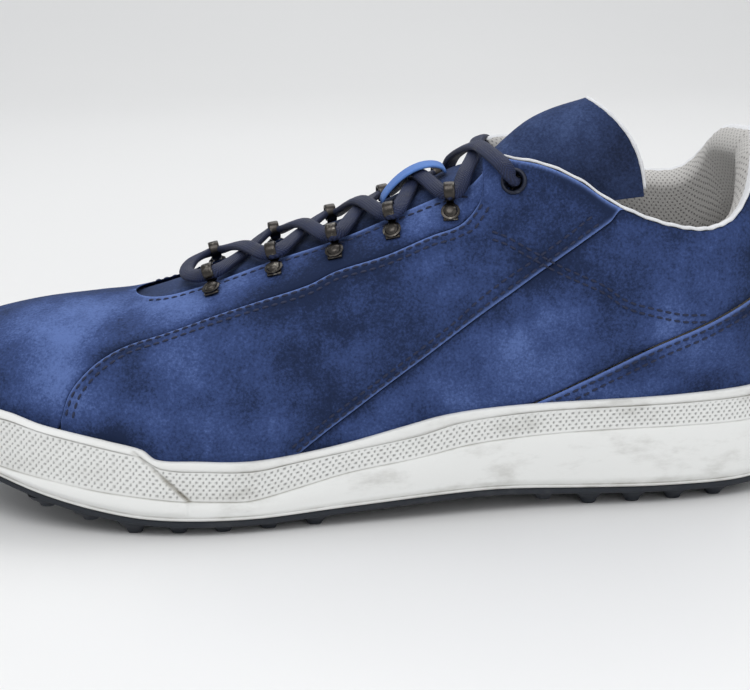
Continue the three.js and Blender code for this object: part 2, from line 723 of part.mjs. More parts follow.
// ----- lace keeper on the tongue -----
const keeper = { start: 9.5, end: 30.5, width: 11, thick: 1.2, rise: 5.8 };
function makeKeeper() {
  const shape = new Slabber();
  const place = (u, v) => {
    const x = keeper.start + u * (keeper.end - keeper.start);
    const z = ridgeZ(x / half) - 1.4 + clearance + keeper.rise * Math.sin(Math.PI * u) ** 0.6;
    const y = ridgeY(turnAt(x / half)) + (v - 0.5) * keeper.width;
    return [new THREE.Vector3(x, y, z + keeper.thick), new THREE.Vector3(x, y, z)];
  };
  shape.sheet([0, 0.1, 0.25, 0.5, 0.75, 0.9, 1], 1, place, false);
  return shape.geometry();
}
add('lace_keeper', makeKeeper(), 'keeper');

// ----- lace loops, rivets and eyelets -----
const strap = { width: 3.6, thick: 0.8, eye: 2, reach: 6.3, tail: 2.6 };
function loopGeometry() {
  const { thick, eye, reach, tail, width } = strap;
  const outer = eye + thick;
  const centre = clearance + outer;
  const meet = Math.asin((clearance + thick - centre) / outer);
  const shape = new THREE.Shape();
  shape.moveTo(-tail, clearance);
  shape.lineTo(reach, clearance);
  shape.absarc(reach, centre, outer, -Math.PI / 2, Math.PI - meet, false);
  shape.lineTo(-tail, clearance + thick);
  shape.closePath();
  const hole = new THREE.Path();
  hole.absarc(reach, centre, eye, 0, 2 * Math.PI, true);
  shape.holes.push(hole);
  const body = new THREE.ExtrudeGeometry(shape, { depth: width, bevelEnabled: false, curveSegments: 5 });
  body.translate(0, 0, -width / 2);
  // The profile lies across the facing (x to y) and stands off it (y to z).
  body.applyMatrix4(new THREE.Matrix4().makeBasis(
    new THREE.Vector3(0, 1, 0), new THREE.Vector3(0, 0, 1), new THREE.Vector3(1, 0, 0),
  ));
  return geometryOf(solid(body).subtract(solid(pin(rivetHole, -1, 3, 8))));
}
function turned(profile, segments) {
  const points = profile.map(([r, z]) => new THREE.Vector2(r, z));
  const shape = new THREE.LatheGeometry(points, segments);
  shape.rotateX(Math.PI / 2);
  return shape;
}
function rivetGeometry() {
  const seat = clearance + strap.thick + clearance;
  const tailZ = -suede - clearance;
  const shank = rivetHole - clearance;
  return turned([
    [0, tailZ - 0.6], [2, tailZ - 0.6], [2, tailZ], [shank, tailZ], [shank, seat], [3, seat],
    [2.7, seat + 0.9], [1.5, seat + 1.6], [0, seat + 1.8],
  ], 7);
}
const eyelet = { bore: 2.6, barrel: eyeletHole - clearance, flange: 4.3 };
const loopShape = loopGeometry();
const rivetShape = rivetGeometry();
const eyeletShape = turned([
  [eyelet.bore, -suede - 2.6], [eyelet.barrel, -suede - 2.6], [eyelet.barrel, clearance],
  [eyelet.flange, clearance], [eyelet.flange - 0.4, clearance + 0.8], [eyelet.bore + 0.2, clearance + 0.8],
  [eyelet.bore, clearance + 0.3], [eyelet.bore, -suede - 2.6],
], 12);
const washerTop = -suede - 1.7 * flatter;
const washerShape = turned([
  [eyelet.barrel + clearance, washerTop - 0.5], [4.5, washerTop - 0.5], [4.5, washerTop],
  [eyelet.barrel + clearance, washerTop], [eyelet.barrel + clearance, washerTop - 0.5],
], 12);
for (const frame of loopFrames) {
  add(`lace_loop_${frame.name}`, loopShape, 'hardware', frame);
  add(`rivet_${frame.name}`, rivetShape, 'hardware', frame);
}
for (const frame of eyeletFrames) {
  add(`eyelet_${frame.name}`, eyeletShape, 'hardware', frame);
  add(`eyelet_washer_${frame.name}`, washerShape, 'hardware', frame);
}

// ----- lace: one piece, criss-crossed through the loops, its ends tucked in through the eyelets -----
const laceRoute = [
  [72, 2, 34], [88, 1, 34.1], [102, -4, 34.8], [112, -11, 38], [112, -17, 47], [103, -19.5, 56],
  [90, -20.4, 66], [78, -20, 77], [66, -19.6, 88], [57.5, -20.4, 99], [53, -22.4, 106.6],
  [50.7, -27, 108.5], [49.4, -30, 110.2], [47, -28.4, 113.8], [43.5, -16, 116.4], [40.5, 1, 116.2],
  [35.2, 18.5, 109.8], [32.3, 24.6, 103], [27.9, 24, 102.6], [20.7, 1.5, 104.6],
  [13.2, -21.3, 98.9], [9, -20.5, 97.9], [1.9, 0.5, 98.4], [-5.1, 22.4, 90.2], [-9.5, 21.8, 89.6],
  [-17.3, 1.5, 87.9], [-25.1, -18.4, 85.8], [-29.3, -17.8, 84.7], [-37.4, 2, 83.4],
  [-45.6, 21.9, 78], [-49.8, 21.5, 77], [-54.8, 13, 76.2], [-56.5, 2.5, 75.3], [-54.8, -8, 75.8],
  [-50.1, -16.2, 77.4], [-45.9, -16.6, 78.8], [-37.4, 2, 80.5], [-29.1, 21.3, 83.8],
  [-24.9, 21.9, 84.6], [-17.3, 1.5, 90.8], [-9.6, -19.5, 90.9], [-5.4, -20.1, 91.9],
  [1.9, 0.5, 95.5], [9, 22.5, 96.1], [13.3, 23.2, 97.1], [20.7, 1.5, 107], [28.1, -22, 104.6],
  [32.5, -22.4, 104.8], [36, -15.5, 109.8], [40.5, 1, 113.2], [43.3, 16, 115.8], [47.2, 28, 113.6],
  [49.3, 32.4, 109.2], [50.7, 29.7, 107.4], [53, 25.4, 105.2], [57, 23.6, 99], [66, 24, 92.5],
  [80, 26.5, 88], [95, 27.8, 85.5], [107, 26.4, 81.5], [115, 23, 73], [118, 19, 62],
  [116, 15.5, 50], [109, 13, 40.5], [97, 12, 36], [82, 12, 35.4],
];
function laceGeometry() {
  const route = new THREE.CatmullRomCurve3(laceRoute.map((p) => new THREE.Vector3(...p)));
  // Stations stand on the route's own points, close together where it bends.
  route.getPointAt = route.getPoint;
  route.getTangentAt = route.getTangent;
  const section = new THREE.Shape();
  for (let i = 0; i < 8; i += 1) {
    const angle = (i * Math.PI) / 4;
    const spot = [Math.cos(angle), Math.sin(angle)].map((v) => (v * laceDiameter) / 2);
    if (i) section.lineTo(...spot);
    else section.moveTo(...spot);
  }
  return new THREE.ExtrudeGeometry(section, {
    steps: laceRoute.length - 1, extrudePath: route, bevelEnabled: false,
  });
}
const aglet = { length: 18, diameter: 2.2, sides: 8 };
function agletGeometry(end, before) {
  const tip = new THREE.Vector3(...end);
  const away = tip.clone().sub(new THREE.Vector3(...before)).normalize();
  const shape = new THREE.CylinderGeometry(aglet.diameter / 2, aglet.diameter / 2, aglet.length, aglet.sides);
  shape.translate(0, aglet.length / 2 + clearance, 0);
  shape.applyQuaternion(new THREE.Quaternion().setFromUnitVectors(new THREE.Vector3(0, 1, 0), away));
  shape.translate(...tip.toArray());
  return shape;
}
add('shoelace', laceGeometry(), 'lace');
add('aglet_lateral', agletGeometry(laceRoute[0], laceRoute[1]), 'aglet');
add('aglet_medial', agletGeometry(laceRoute.at(-1), laceRoute.at(-2)), 'aglet');

export default shoe;
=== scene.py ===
import math

import bmesh
import bpy
import numpy as np
from mathutils import Matrix


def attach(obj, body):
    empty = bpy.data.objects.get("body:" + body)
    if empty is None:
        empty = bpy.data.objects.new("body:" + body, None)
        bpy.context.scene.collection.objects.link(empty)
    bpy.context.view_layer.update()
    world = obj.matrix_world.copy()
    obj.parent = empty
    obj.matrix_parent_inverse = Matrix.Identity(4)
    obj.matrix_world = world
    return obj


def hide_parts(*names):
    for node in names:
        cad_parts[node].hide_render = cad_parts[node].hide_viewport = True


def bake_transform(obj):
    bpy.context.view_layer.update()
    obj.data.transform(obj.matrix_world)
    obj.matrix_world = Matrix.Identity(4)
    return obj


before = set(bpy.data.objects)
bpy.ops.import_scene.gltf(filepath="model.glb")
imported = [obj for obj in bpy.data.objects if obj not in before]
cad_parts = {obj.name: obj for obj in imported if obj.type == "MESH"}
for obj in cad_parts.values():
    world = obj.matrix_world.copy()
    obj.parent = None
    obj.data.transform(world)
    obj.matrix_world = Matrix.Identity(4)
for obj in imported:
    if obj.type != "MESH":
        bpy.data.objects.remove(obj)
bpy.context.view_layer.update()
scene = bpy.context.scene
scene.view_settings.view_transform = "Standard"
mm = 0.001  # the shape functions below work in millimetres, and every mesh is made in metres


# ---- camera and light ----
camera = {"aim": (7, 5, 46.9), "distance": 600, "elevation": 15, "yaw": 2.5, "roll": 0.009, "lens": 83.47}


def makeCamera(look):
    el, yaw = math.radians(look["elevation"]), math.radians(look["yaw"])
    ahead = np.array([math.sin(yaw) * math.cos(el), math.cos(yaw) * math.cos(el), -math.sin(el)])
    right = np.array([math.cos(yaw), -math.sin(yaw), 0.0])
    upward = np.cross(right, ahead)
    c, s = math.cos(look["roll"]), math.sin(look["roll"])
    turnedRight, turnedUp = right * c - upward * s, upward * c + right * s
    data = bpy.data.cameras.new("camera")
    data.lens = look["lens"]
    data.clip_start = 0.01
    data.clip_end = 30
    item = bpy.data.objects.new("camera", data)
    place = (np.array(look["aim"]) - ahead * look["distance"]) * mm
    item.matrix_world = Matrix.Translation(place) @ Matrix(
        np.array([turnedRight, turnedUp, -ahead]).T).to_4x4()
    scene.collection.objects.link(item)
    scene.camera = item


makeCamera(camera)

lamps = {
    "sky": 0.62,
    "areas": [  # name, place, size, watts: all aimed at the middle of the shoe
        ("key", (-0.35, -0.85, 1.35), 1.0, 9),
        ("fill", (0.9, -0.9, 0.7), 1.2, 3),
        ("back", (0.1, 0.75, 1.2), 1.1, 7),
    ],
}


def makeLights(look):
    world = bpy.data.worlds.new("studio")
    world.use_nodes = True
    sky = world.node_tree.nodes["Background"]
    sky.inputs["Color"].default_value = (0.97, 0.985, 1, 1)
    sky.inputs["Strength"].default_value = look["sky"]
    scene.world = world
    for name, place, size, watts in look["areas"]:
        data = bpy.data.lights.new(name, "AREA")
        data.shape = "DISK"
        data.size = size
        data.energy = watts
        item = bpy.data.objects.new(name, data)
        away = np.array(place) - np.array([0, 0, 0.05])
        away /= np.linalg.norm(away)
        side = np.cross([0, 0, 1], away)
        side /= np.linalg.norm(side)
        item.matrix_world = Matrix.Translation(place) @ Matrix(
            np.array([side, np.cross(away, side), away]).T).to_4x4()
        scene.collection.objects.link(item)


makeLights(lamps)
print("camera and light are in place")


# ---- finishes ----
class Wire:
    # A shader socket that can stand in a sum. Each operator adds its Math node.
    def __init__(self, paint, socket):
        self.paint, self.socket = paint, socket

    def join(self, operation, *values):
        return self.paint.node("ShaderNodeMath", {"operation": operation}, list(values))

    def __add__(self, other):
        return self.join("ADD", self, other)

    def __radd__(self, other):
        return self.join("ADD", other, self)

    def __sub__(self, other):
        return self.join("SUBTRACT", self, other)

    def __rsub__(self, other):
        return self.join("SUBTRACT", other, self)

    def __mul__(self, other):
        return self.join("MULTIPLY", self, other)

    def __rmul__(self, other):
        return self.join("MULTIPLY", other, self)

    def clamp(self):
        return self.paint.node("ShaderNodeClamp", {}, {"Value": self})

    def step(self, low, high):
        # 0 below low, 1 above high, smooth between
        return self.paint.node(
            "ShaderNodeMapRange", {"interpolation_type": "SMOOTHSTEP"},
            {"Value": self, "From Min": low, "From Max": high})

    def cosine(self):
        return self.join("COSINE", self)


class Paint:
    def __init__(self, name):
        self.material = bpy.data.materials.new(name)
        self.material.use_nodes = True
        self.tree = self.material.node_tree
        self.shader = self.tree.nodes["Principled BSDF"]

    def node(self, kind, settings, values, output=0):
        made = self.tree.nodes.new(kind)
        for key, value in settings.items():
            setattr(made, key, value)
        self.feed(made, values)
        return Wire(self, made.outputs[output])

    def feed(self, made, values):
        pairs = enumerate(values) if isinstance(values, list) else values.items()
        byIdentifier = {s.identifier: s for s in made.inputs}
        for key, value in pairs:
            socket = byIdentifier.get(key) or made.inputs[key]
            if isinstance(value, Wire):
                self.tree.links.new(value.socket, socket)
            else:
                socket.default_value = value

    def place(self):
        return self.node("ShaderNodeTexCoord", {}, {}, "Object")

    def mark(self, name):
        return self.node("ShaderNodeAttribute", {"attribute_name": name}, {}, "Fac")

    def strands(self):
        # the piece's own UV, in millimetres across and along
        both = self.node(
            "ShaderNodeSeparateXYZ", {}, {"Vector": self.node("ShaderNodeUVMap", {"uv_map": "run"}, {})})
        return both, Wire(self, both.socket.node.outputs[1])

    def noise(self, scale, detail=3, rough=0.55, stretch=None):
        where = self.place()
        if stretch:
            where = self.node("ShaderNodeMapping", {}, {"Vector": where, "Scale": stretch})
        return self.node(
            "ShaderNodeTexNoise", {},
            {"Vector": where, "Scale": scale, "Detail": detail, "Roughness": rough})

    def blend(self, share, low, high):
        values = {"Factor_Float": share, "A_Color": low, "B_Color": high}
        return self.node("ShaderNodeMix", {"data_type": "RGBA"}, values, 2)

    def bump(self, height, strength, distance):
        values = {"Height": height, "Strength": strength, "Distance": distance * mm}
        return self.node("ShaderNodeBump", {}, values)

    def finish(self, **values):
        self.feed(self.shader, {key.replace("_", " "): value for key, value in values.items()})
        return self.material


def tint(r, g, b):
    return (r, g, b, 1)


def suedeFinish(name, light, middle, dark, seamShade=0.34):
    # Patches some centimetres wide where the nap lies another way, a speckle of fibres, painted shade along
    # the seams, low by the rim and at the toe, a painted highlight round the throat, and a pale band of
    # painted highlight and rubbing along the cut edges.
    p = Paint(name)
    # lighter than the lightest suede: a painted highlight along the cut edges, standing also for the rubbed
    # raw edge
    rubHighlightTint = tint(*[c * 1.25 for c in light[:3]])
    cloud = p.noise(16, 1, 0.4)
    patch = p.noise(48, 2, 0.45, (1, 1, 1.2))
    streak = p.noise(190, 3, 0.6, (1.2, 1, 0.3))
    nap = p.noise(1150, 3, 0.7)
    fleck = p.noise(520, 3, 0.6)
    tone = (cloud - 0.5) * 2.2 + (patch - 0.5) * 1.3 + (streak - 0.5) * 0.34 + (fleck - 0.5) * 0.4
    tone = tone + (nap - 0.5) * 1.15 + 0.47 - p.mark("shade") * seamShade
    lower = p.blend(tone.step(-0.15, 0.6), dark, middle)
    colour = p.blend(tone.step(0.4, 1.15), lower, light)
    # painted highlight, partly the paler rubbed raw edge, in a narrow band along the cut edges
    colour = p.blend((p.mark("rubbed") * (nap * 1.2 + 0.3)).clamp(), colour, rubHighlightTint)
    height = nap * 0.6 + fleck * 0.5 + patch * 0.8
    return p.finish(
        Base_Color=colour, Roughness=(0.86 + (nap - 0.5) * 0.2).clamp(), Normal=p.bump(height, 0.5, 0.5),
        Specular_IOR_Level=0.08, Sheen_Weight=0.09, Sheen_Roughness=0.5, Sheen_Tint=tint(0.45, 0.6, 1))


def edgeFinish(name, colour, shadow):
    # Cut or turned edges: short fibres, slightly soiled.
    p = Paint(name)
    fibre = p.noise(1300, 3, 0.7)
    soil = p.noise(140, 3)
    return p.finish(
        Base_Color=p.blend((fibre * 0.6 + soil * 0.7 - 0.35).clamp(), colour, shadow), Roughness=0.9,
        Normal=p.bump(fibre, 0.5, 0.3), Specular_IOR_Level=0.2)


def meshFinish(name, light, shadow, pitch):
    # Spacer mesh: small holes in staggered rows, following the cloth.
    p = Paint(name)
    u, v = p.strands()
    turns = 2 * math.pi / pitch
    hole = ((u * turns).cosine() * (v * (turns * 0.8)).cosine()).step(0.35, 0.9)
    knit = ((u * (turns * 4)).cosine() * (v * (turns * 3)).cosine()) * 0.5 + 0.5
    soil = p.noise(60, 4, 0.6)
    base = p.blend((knit * 0.35 + soil * 0.5 - 0.1).clamp(), light, tint(*[c * 0.72 for c in light[:3]]))
    return p.finish(
        Base_Color=p.blend(hole * 0.7, base, shadow), Roughness=0.92,
        Normal=p.bump(knit * 0.12 - hole, 0.7, 0.5), Specular_IOR_Level=0.2, Sheen_Weight=0.15)


def soleFinish(name):
    # White moulded rubber: grime settles in the grooves, the pits get a painted shade, and there are a few
    # grey rubbing marks.
    p = Paint(name)
    rub = p.noise(38, 5, 0.65, (1, 1, 2.6))
    spread = p.noise(9, 2)
    fine = p.noise(900, 2)
    dirt = (
        rub.step(0.5, 0.74) * 0.36 * spread.step(0.3, 0.65) + p.mark("grime") * (
            rub.step(0.3, 0.62) * 0.75 + 0.15)).clamp()
    colour = p.blend(dirt, tint(0.80, 0.805, 0.79), tint(0.25, 0.235, 0.20))
    # painted shade in the pits of the textured band
    colour = p.blend(p.mark("pit") * 0.82, colour, tint(0.17, 0.17, 0.16))
    return p.finish(
        Base_Color=colour, Roughness=(0.48 + dirt * 0.3).clamp(),
        Normal=p.bump(fine + rub * 0.6, 0.25, 0.2),
        Specular_IOR_Level=0.35)


def rubberFinish(name, colour, dust):
    p = Paint(name)
    grain = p.noise(700, 3)
    scuff = p.noise(55, 4, 0.65)
    return p.finish(
        Base_Color=p.blend(scuff.step(0.5, 0.8) * 0.5, colour, dust),
        Roughness=(0.55 + scuff * 0.25).clamp(),
        Normal=p.bump(grain, 0.35, 0.25), Specular_IOR_Level=0.35)


def laceFinish(name, light, dark):
    # Waxed flat weave: two slanting sets of yarns that cross at the middle of the lace.
    p = Paint(name)
    across, along = p.strands()
    slant = p.node("ShaderNodeMath", {"operation": "ABSOLUTE"}, [across])
    yarn = ((along * 7.4 + slant * 5.2).cosine() * 0.5 + 0.5) * ((across * 8.4).cosine() * 0.3 + 0.7)
    wax = p.noise(110, 3)
    tone = (yarn * 0.6 + wax * 0.75 - 0.22).clamp()
    return p.finish(
        Base_Color=p.blend(tone, dark, light), Roughness=(0.4 + wax * 0.35).clamp(),
        Normal=p.bump(yarn, 0.6, 0.35), Specular_IOR_Level=0.25, Sheen_Weight=0.03)


def metalFinish(name, colour, worn, rough, metal=1.0):
    # Antique plating, rubbed bright in patches.
    p = Paint(name)
    patch = p.noise(420, 4, 0.65)
    fine = p.noise(2400, 2)
    rubbed = patch.step(0.56, 0.78)
    return p.finish(
        Base_Color=p.blend(rubbed, colour, worn), Metallic=metal,
        Roughness=(rough + patch * 0.25 - rubbed * 0.1).clamp(),
        Normal=p.bump(patch + fine * 0.4, 0.25, 0.15))


def plainFinish(name, light, dark, scale, rough, metal=0.0, stretch=None):
    p = Paint(name)
    grain = p.noise(scale, 4, 0.6, stretch)
    cloud = p.noise(scale * 0.08, 2)
    return p.finish(
        Base_Color=p.blend((grain * 0.8 + cloud * 0.6 - 0.2).clamp(), dark, light), Metallic=metal,
        Roughness=(rough + (grain - 0.5) * 0.2).clamp(), Normal=p.bump(grain, 0.3, 0.25))


def floorFinish(name):
    p = Paint(name)
    cloud = p.noise(2.2, 2)
    return p.finish(
        Base_Color=p.blend(cloud, tint(0.80, 0.80, 0.80), tint(0.84, 0.84, 0.84)), Roughness=0.36,
        Specular_IOR_Level=0.3)


suede = suedeFinish("suede", tint(0.105, 0.165, 0.39), tint(0.041, 0.069, 0.19), tint(0.013, 0.022, 0.058))
suedeFoxing = suedeFinish(
    "suede_foxing", tint(0.095, 0.15, 0.36), tint(0.037, 0.063, 0.175), tint(0.013, 0.021, 0.055))
tongueSuede = suedeFinish(
    "tongue_suede", tint(0.070, 0.108, 0.24), tint(0.030, 0.047, 0.115), tint(0.012, 0.018, 0.042), 0.35)
suedeEdge = edgeFinish("suede_cut_edge", tint(0.12, 0.19, 0.42), tint(0.035, 0.07, 0.22))
paleEdge = edgeFinish("pale_turned_edge", tint(0.80, 0.81, 0.83), tint(0.50, 0.50, 0.52))
collarMesh = meshFinish("spacer_mesh", tint(0.60, 0.585, 0.565), tint(0.2, 0.19, 0.185), 1.9)
keeperTape = plainFinish("keeper_tape", tint(0.12, 0.26, 0.62), tint(0.06, 0.14, 0.42), 900, 0.85)
soleWhite = soleFinish("sole_white")
outsoleDark = rubberFinish("outsole_dark", tint(0.022, 0.026, 0.034), tint(0.10, 0.10, 0.105))
laceWeave = laceFinish("lace_weave", tint(0.022, 0.036, 0.105), tint(0.005, 0.008, 0.026))
thread = plainFinish("thread", tint(0.016, 0.026, 0.075), tint(0.006, 0.010, 0.032), 1600, 0.75)
bronze = metalFinish("antique_bronze", tint(0.055, 0.050, 0.046), tint(0.34, 0.32, 0.28), 0.2)
darkEnamel = metalFinish("dark_enamel", tint(0.012, 0.016, 0.034), tint(0.05, 0.06, 0.09), 0.3, 0.4)
gloss = plainFinish("aglet_gloss", tint(0.03, 0.033, 0.045), tint(0.01, 0.012, 0.018), 300, 0.25)
openFoam = plainFinish("open_foam", tint(0.72, 0.70, 0.66), tint(0.5, 0.48, 0.44), 1200, 0.92)
fibreBoard = plainFinish("fibre_board", tint(0.52, 0.38, 0.22), tint(0.34, 0.24, 0.13), 500, 0.9)
springSteel = plainFinish(
    "spring_steel", tint(0.58, 0.59, 0.61), tint(0.4, 0.41, 0.43), 300, 0.3, 1.0, (1, 12, 1))
stiffBoard = plainFinish("stiffener_board", tint(0.62, 0.55, 0.44), tint(0.42, 0.37, 0.29), 700, 0.85)
print("finishes are mixed")


# ---- curves and the last ----
def smooth(low, high, x):
    u = np.clip((np.asarray(x, float) - low) / (high - low), 0, 1)
    return u * u * (3 - 2 * u)


def lerp(a, b, t):
    return a + (b - a) * t


def norm(v):
    return v / np.maximum(np.linalg.norm(v, axis=-1, keepdims=True), 1e-9)


def through(pairs):
    # A smooth curve through (place, value) pairs: Hermite arcs, each inner slope taken across its
    # neighbours.
    xs, vs = np.array(pairs, float).T
    last = len(xs) - 1
    before, after = np.maximum(np.arange(last + 1) - 1, 0), np.minimum(np.arange(last + 1) + 1, last)
    slope = (vs[after] - vs[before]) / (xs[after] - xs[before])

    def at(x):
        x = np.asarray(x, float)
        i = np.clip(np.searchsorted(xs, x) - 1, 0, last - 1)
        w = xs[i + 1] - xs[i]
        u = np.clip((x - xs[i]) / w, 0, 1)
        u2, u3 = u * u, u * u * u
        return (vs[i] * (2 * u3 - 3 * u2 + 1) + slope[i] * w * (u3 - 2 * u2 + u)
                + vs[i + 1] * (3 * u2 - 2 * u3) + slope[i + 1] * w * (u3 - u2))
    return at


body = {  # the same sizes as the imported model, in millimetres
    "length": 300, "ball": 108, "heel": 75, "heelY": 5, "gap": 0.3, "plate": 2.4, "cupWall": 5,
    "foreStack": 12, "heelStack": 20, "board": 1.6, "sockliner": 4, "suede": 1.6, "layerGap": 0.8,
    "stiffener": 1.1,
    "lining": 1, "padding": 4.4, "height": 119.5, "dipLateral": 91.6, "dipMedial": 100.2,
}
half = body["length"] / 2
ball, heel, heelY = body["ball"], body["heel"], body["heelY"]


def stationX(turn):  # turn runs from 0 at the toe tip to 180 at the heel
    return -half * np.cos(np.radians(turn))


def turnAt(share):
    return float(np.degrees(np.arccos(-share)))


lateralY = [0.093 * ball, -0.195 * ball, -0.407 * ball, -0.5 * ball, -0.43 * ball,
            heelY - 0.56 * heel, heelY - 0.5 * heel, heelY - 0.35 * heel, heelY]
medialY = [0.093 * ball, 0.325 * ball, 0.47 * ball, 0.495 * ball, 0.4 * ball,
           heelY + 0.46 * heel, heelY + 0.49 * heel, heelY + 0.36 * heel, heelY]
knotStep = 22.5


def sideWidth(near, far):
    pairs = [(i * knotStep, y) for i, y in enumerate(near)]
    return through([(-knotStep, far[1])] + pairs + [(180 + knotStep, far[7])])


widthOf = {-1: sideWidth(lateralY, medialY), 1: sideWidth(medialY, lateralY)}


def outline(side, turn, inset):
    # the sole's outline, moved inwards by inset along its normal in plan
    dx = half * np.sin(np.radians(turn)) * math.radians(1)
    dy = widthOf[side](turn + 0.5) - widthOf[side](turn - 0.5)
    run = np.hypot(dx, dy)
    return stationX(turn) + side * inset * dy / run, widthOf[side](turn) - side * inset * dx / run


plateBottomAt = through([
    (-1, 25), (-0.77, 14.5), (-0.67, 10), (-0.56, 6.3), (-0.46, 4), (-0.34, 3.1), (-0.21, 2.9),
    (-0.07, 4), (0.13, 5.6), (0.29, 6.2), (0.47, 5), (0.67, 4.2), (0.87, 4), (1, 6.5)])
rimAt = through([
    (-1, 43), (-0.76, 38.6), (-0.69, 35.8), (-0.61, 33.6), (-0.54, 31.6), (-0.465, 28.9),
    (-0.435, 25.7), (-0.35, 24.9), (-0.23, 24), (-0.12, 25.5), (-0.02, 28), (0.09, 31.7),
    (0.19, 34.8), (0.31, 36.2), (0.53, 36.8), (0.75, 37.4), (1, 38.5)])


def plateBottom(x):
    return plateBottomAt(x / half)


def rim(x):
    return rimAt(x / half)


def foamTop(x):
    stack = body["foreStack"] + (body["heelStack"] - body["foreStack"]) * smooth(-0.15, 0.45, x / half)
    return plateBottom(x) + stack


ridgeZ = through([
    (-0.813, 61), (-0.7, 65), (-0.58, 66.8), (-0.49, 68.4), (-0.35, 75), (-0.24, 81),
    (-0.02, 93), (0.12, 102.5), (0.28, 113.5), (0.5, 122)])
ridgeY = through([(0, 9), (45, 7), (67.5, 3), (90, 0.5), (112.5, 1.5), (140, heelY), (180, heelY)])
topX = through([
    (0, -0.813), (22.5, -0.78), (45, -0.675), (67.5, -0.387), (90, 0), (112.5, 0.383),
    (135, 0.693), (157.5, 0.853), (180, 0.913)])
dipL, dipM, tall = body["dipLateral"], body["dipMedial"], body["height"]
frontZ = tall - 4.8
toplineZ = {
    -1: through([
        (100, 109), (106, frontZ), (112.5, frontZ - 0.6), (118, dipL + 17.6), (123, dipL + 10.2),
        (129, dipL + 4.4), (135, dipL + 1.2), (141, dipL), (146, dipL + 0.8), (151, dipL + 3),
        (157.5, dipL + 9.6), (163, tall - 10), (168, tall - 4), (180, tall)]),
    1: through([
        (100, 109), (106, frontZ), (112.5, frontZ - 0.2), (118, dipM + 11.2), (123, dipM + 6.8),
        (129, dipM + 3.3), (135, dipM + 0.4), (141, dipM), (146, dipM + 1.4), (151, dipM + 5.3),
        (157.5, tall - 7), (163, tall - 2.7), (168, tall - 1.2), (180, tall)]),
}
collarOpens = 104
collarReach = through([
    (collarOpens, 0), (109, 23.5), (112.5, 28), (123, 33.6), (135, 34.4), (146, 31.6), (157.5, 26.5),
    (168, 15.5), (180, 0)])
bendLimit = through(
    [(0, 78), (45, 84), (67.5, 86), (90, 86), (103, 85), (108, 70), (114, 56), (146, 50), (180, 50)])
bulge = through([(0, 0), (60, 0), (90, 1), (135, 2.5), (160, 4.5), (180, 6)])
fullness = through([(0, 0.9), (45, 0.76), (67.5, 0.68), (103, 0.66), (112, 0.8), (130, 0.95), (180, 1)])


def feather(side, turn):
    x, y = outline(side, turn, body["cupWall"] + body["gap"])
    return x, y, foamTop(x) + body["gap"]


def top(side, turn):
    x = topX(turn) * half
    opened = smooth(collarOpens, 109, turn)
    z = lerp(ridgeZ(x / half), toplineZ[side](turn), np.where(turn <= collarOpens, 0, opened))
    return x, ridgeY(turn) + side * np.where(turn <= collarOpens, 0, collarReach(turn)), z


def upAtHeight(side, turn, z):
    # the share of the way up at which the last reaches a height
    f, t = feather(side, turn)[2], top(side, turn)[2]
    end, power = np.radians(bendLimit(turn)), fullness(turn)
    share = np.clip((z - f) / (t - f), 0, 1)
    return np.arcsin(np.clip((share * np.sin(end) ** power) ** (1 / power), 0, 1)) / end


def upAtReach(side, turn, reach):
    # the share of the way up at which the last comes within a distance of its middle line
    f, t = feather(side, turn)[1], top(side, turn)[1]
    end, power = np.radians(bendLimit(turn)), fullness(turn)
    share = np.clip((ridgeY(turn) + side * reach - f) / np.where(np.abs(t - f) < 1e-6, 1e-6, t - f), 0, 1)
    return np.arccos(np.clip((1 - share * (1 - np.cos(end) ** power)) ** (1 / power), 0, 1)) / end


def last(side, turn, up):
    # A point of the last: a quarter of a superellipse from the feather edge (up = 0) to the top (up = 1),
    # pushed out along the outline's normal by a bulge that starts above the rim of the cupsole.
    turn, up = np.broadcast_arrays(np.asarray(turn, float), np.asarray(up, float))
    fx, fy, fz = feather(side, turn)
    tx, ty, tz = top(side, turn)
    end, power = np.radians(bendLimit(turn)), fullness(turn)
    across = (1 - np.cos(up * end) ** power) / (1 - np.cos(end) ** power)
    rise = np.sin(up * end) ** power / np.sin(end) ** power
    ax, ay = outline(side, turn, 0)
    bx, by = outline(side, turn, 1)
    start = upAtHeight(side, turn, rim(fx) + 6)
    free = np.clip((up - start) / np.maximum(1 - start, 1e-6), 0, 1)
    push = bulge(turn) * np.sin(np.pi * free ** 0.7)
    return np.stack([
        lerp(fx, tx, across) + (ax - bx) * push, lerp(fy, ty, across) + (ay - by) * push,
        lerp(fz, tz, rise)], -1)


def ownNormal(side, turn, up):
    t, u = np.clip(turn, 1.5, 178.5), np.clip(up, 0.01, 0.99)
    along = last(side, t + 0.5, u) - last(side, t - 0.5, u)
    climb = last(side, t, u + 0.01) - last(side, t, u - 0.01)
    return norm(np.cross(along, climb) * -side)


def outward(side, turn, up):
    # the outward direction, evened out where the two sides meet on the ridge, the toe and the heel
    turn, up = np.broadcast_arrays(np.asarray(turn, float), np.asarray(up, float))
    n = ownNormal(side, turn, up)
    other = ownNormal(-side, turn, up)
    share = 0.5 * np.maximum(
        smooth(0.93, 1, up) * (1 - smooth(collarOpens - 3, collarOpens, turn)),
        np.maximum(1 - smooth(0, 3, turn), smooth(177, 180, turn)))
    return norm(n * (1 - share)[..., None] + other * share[..., None])


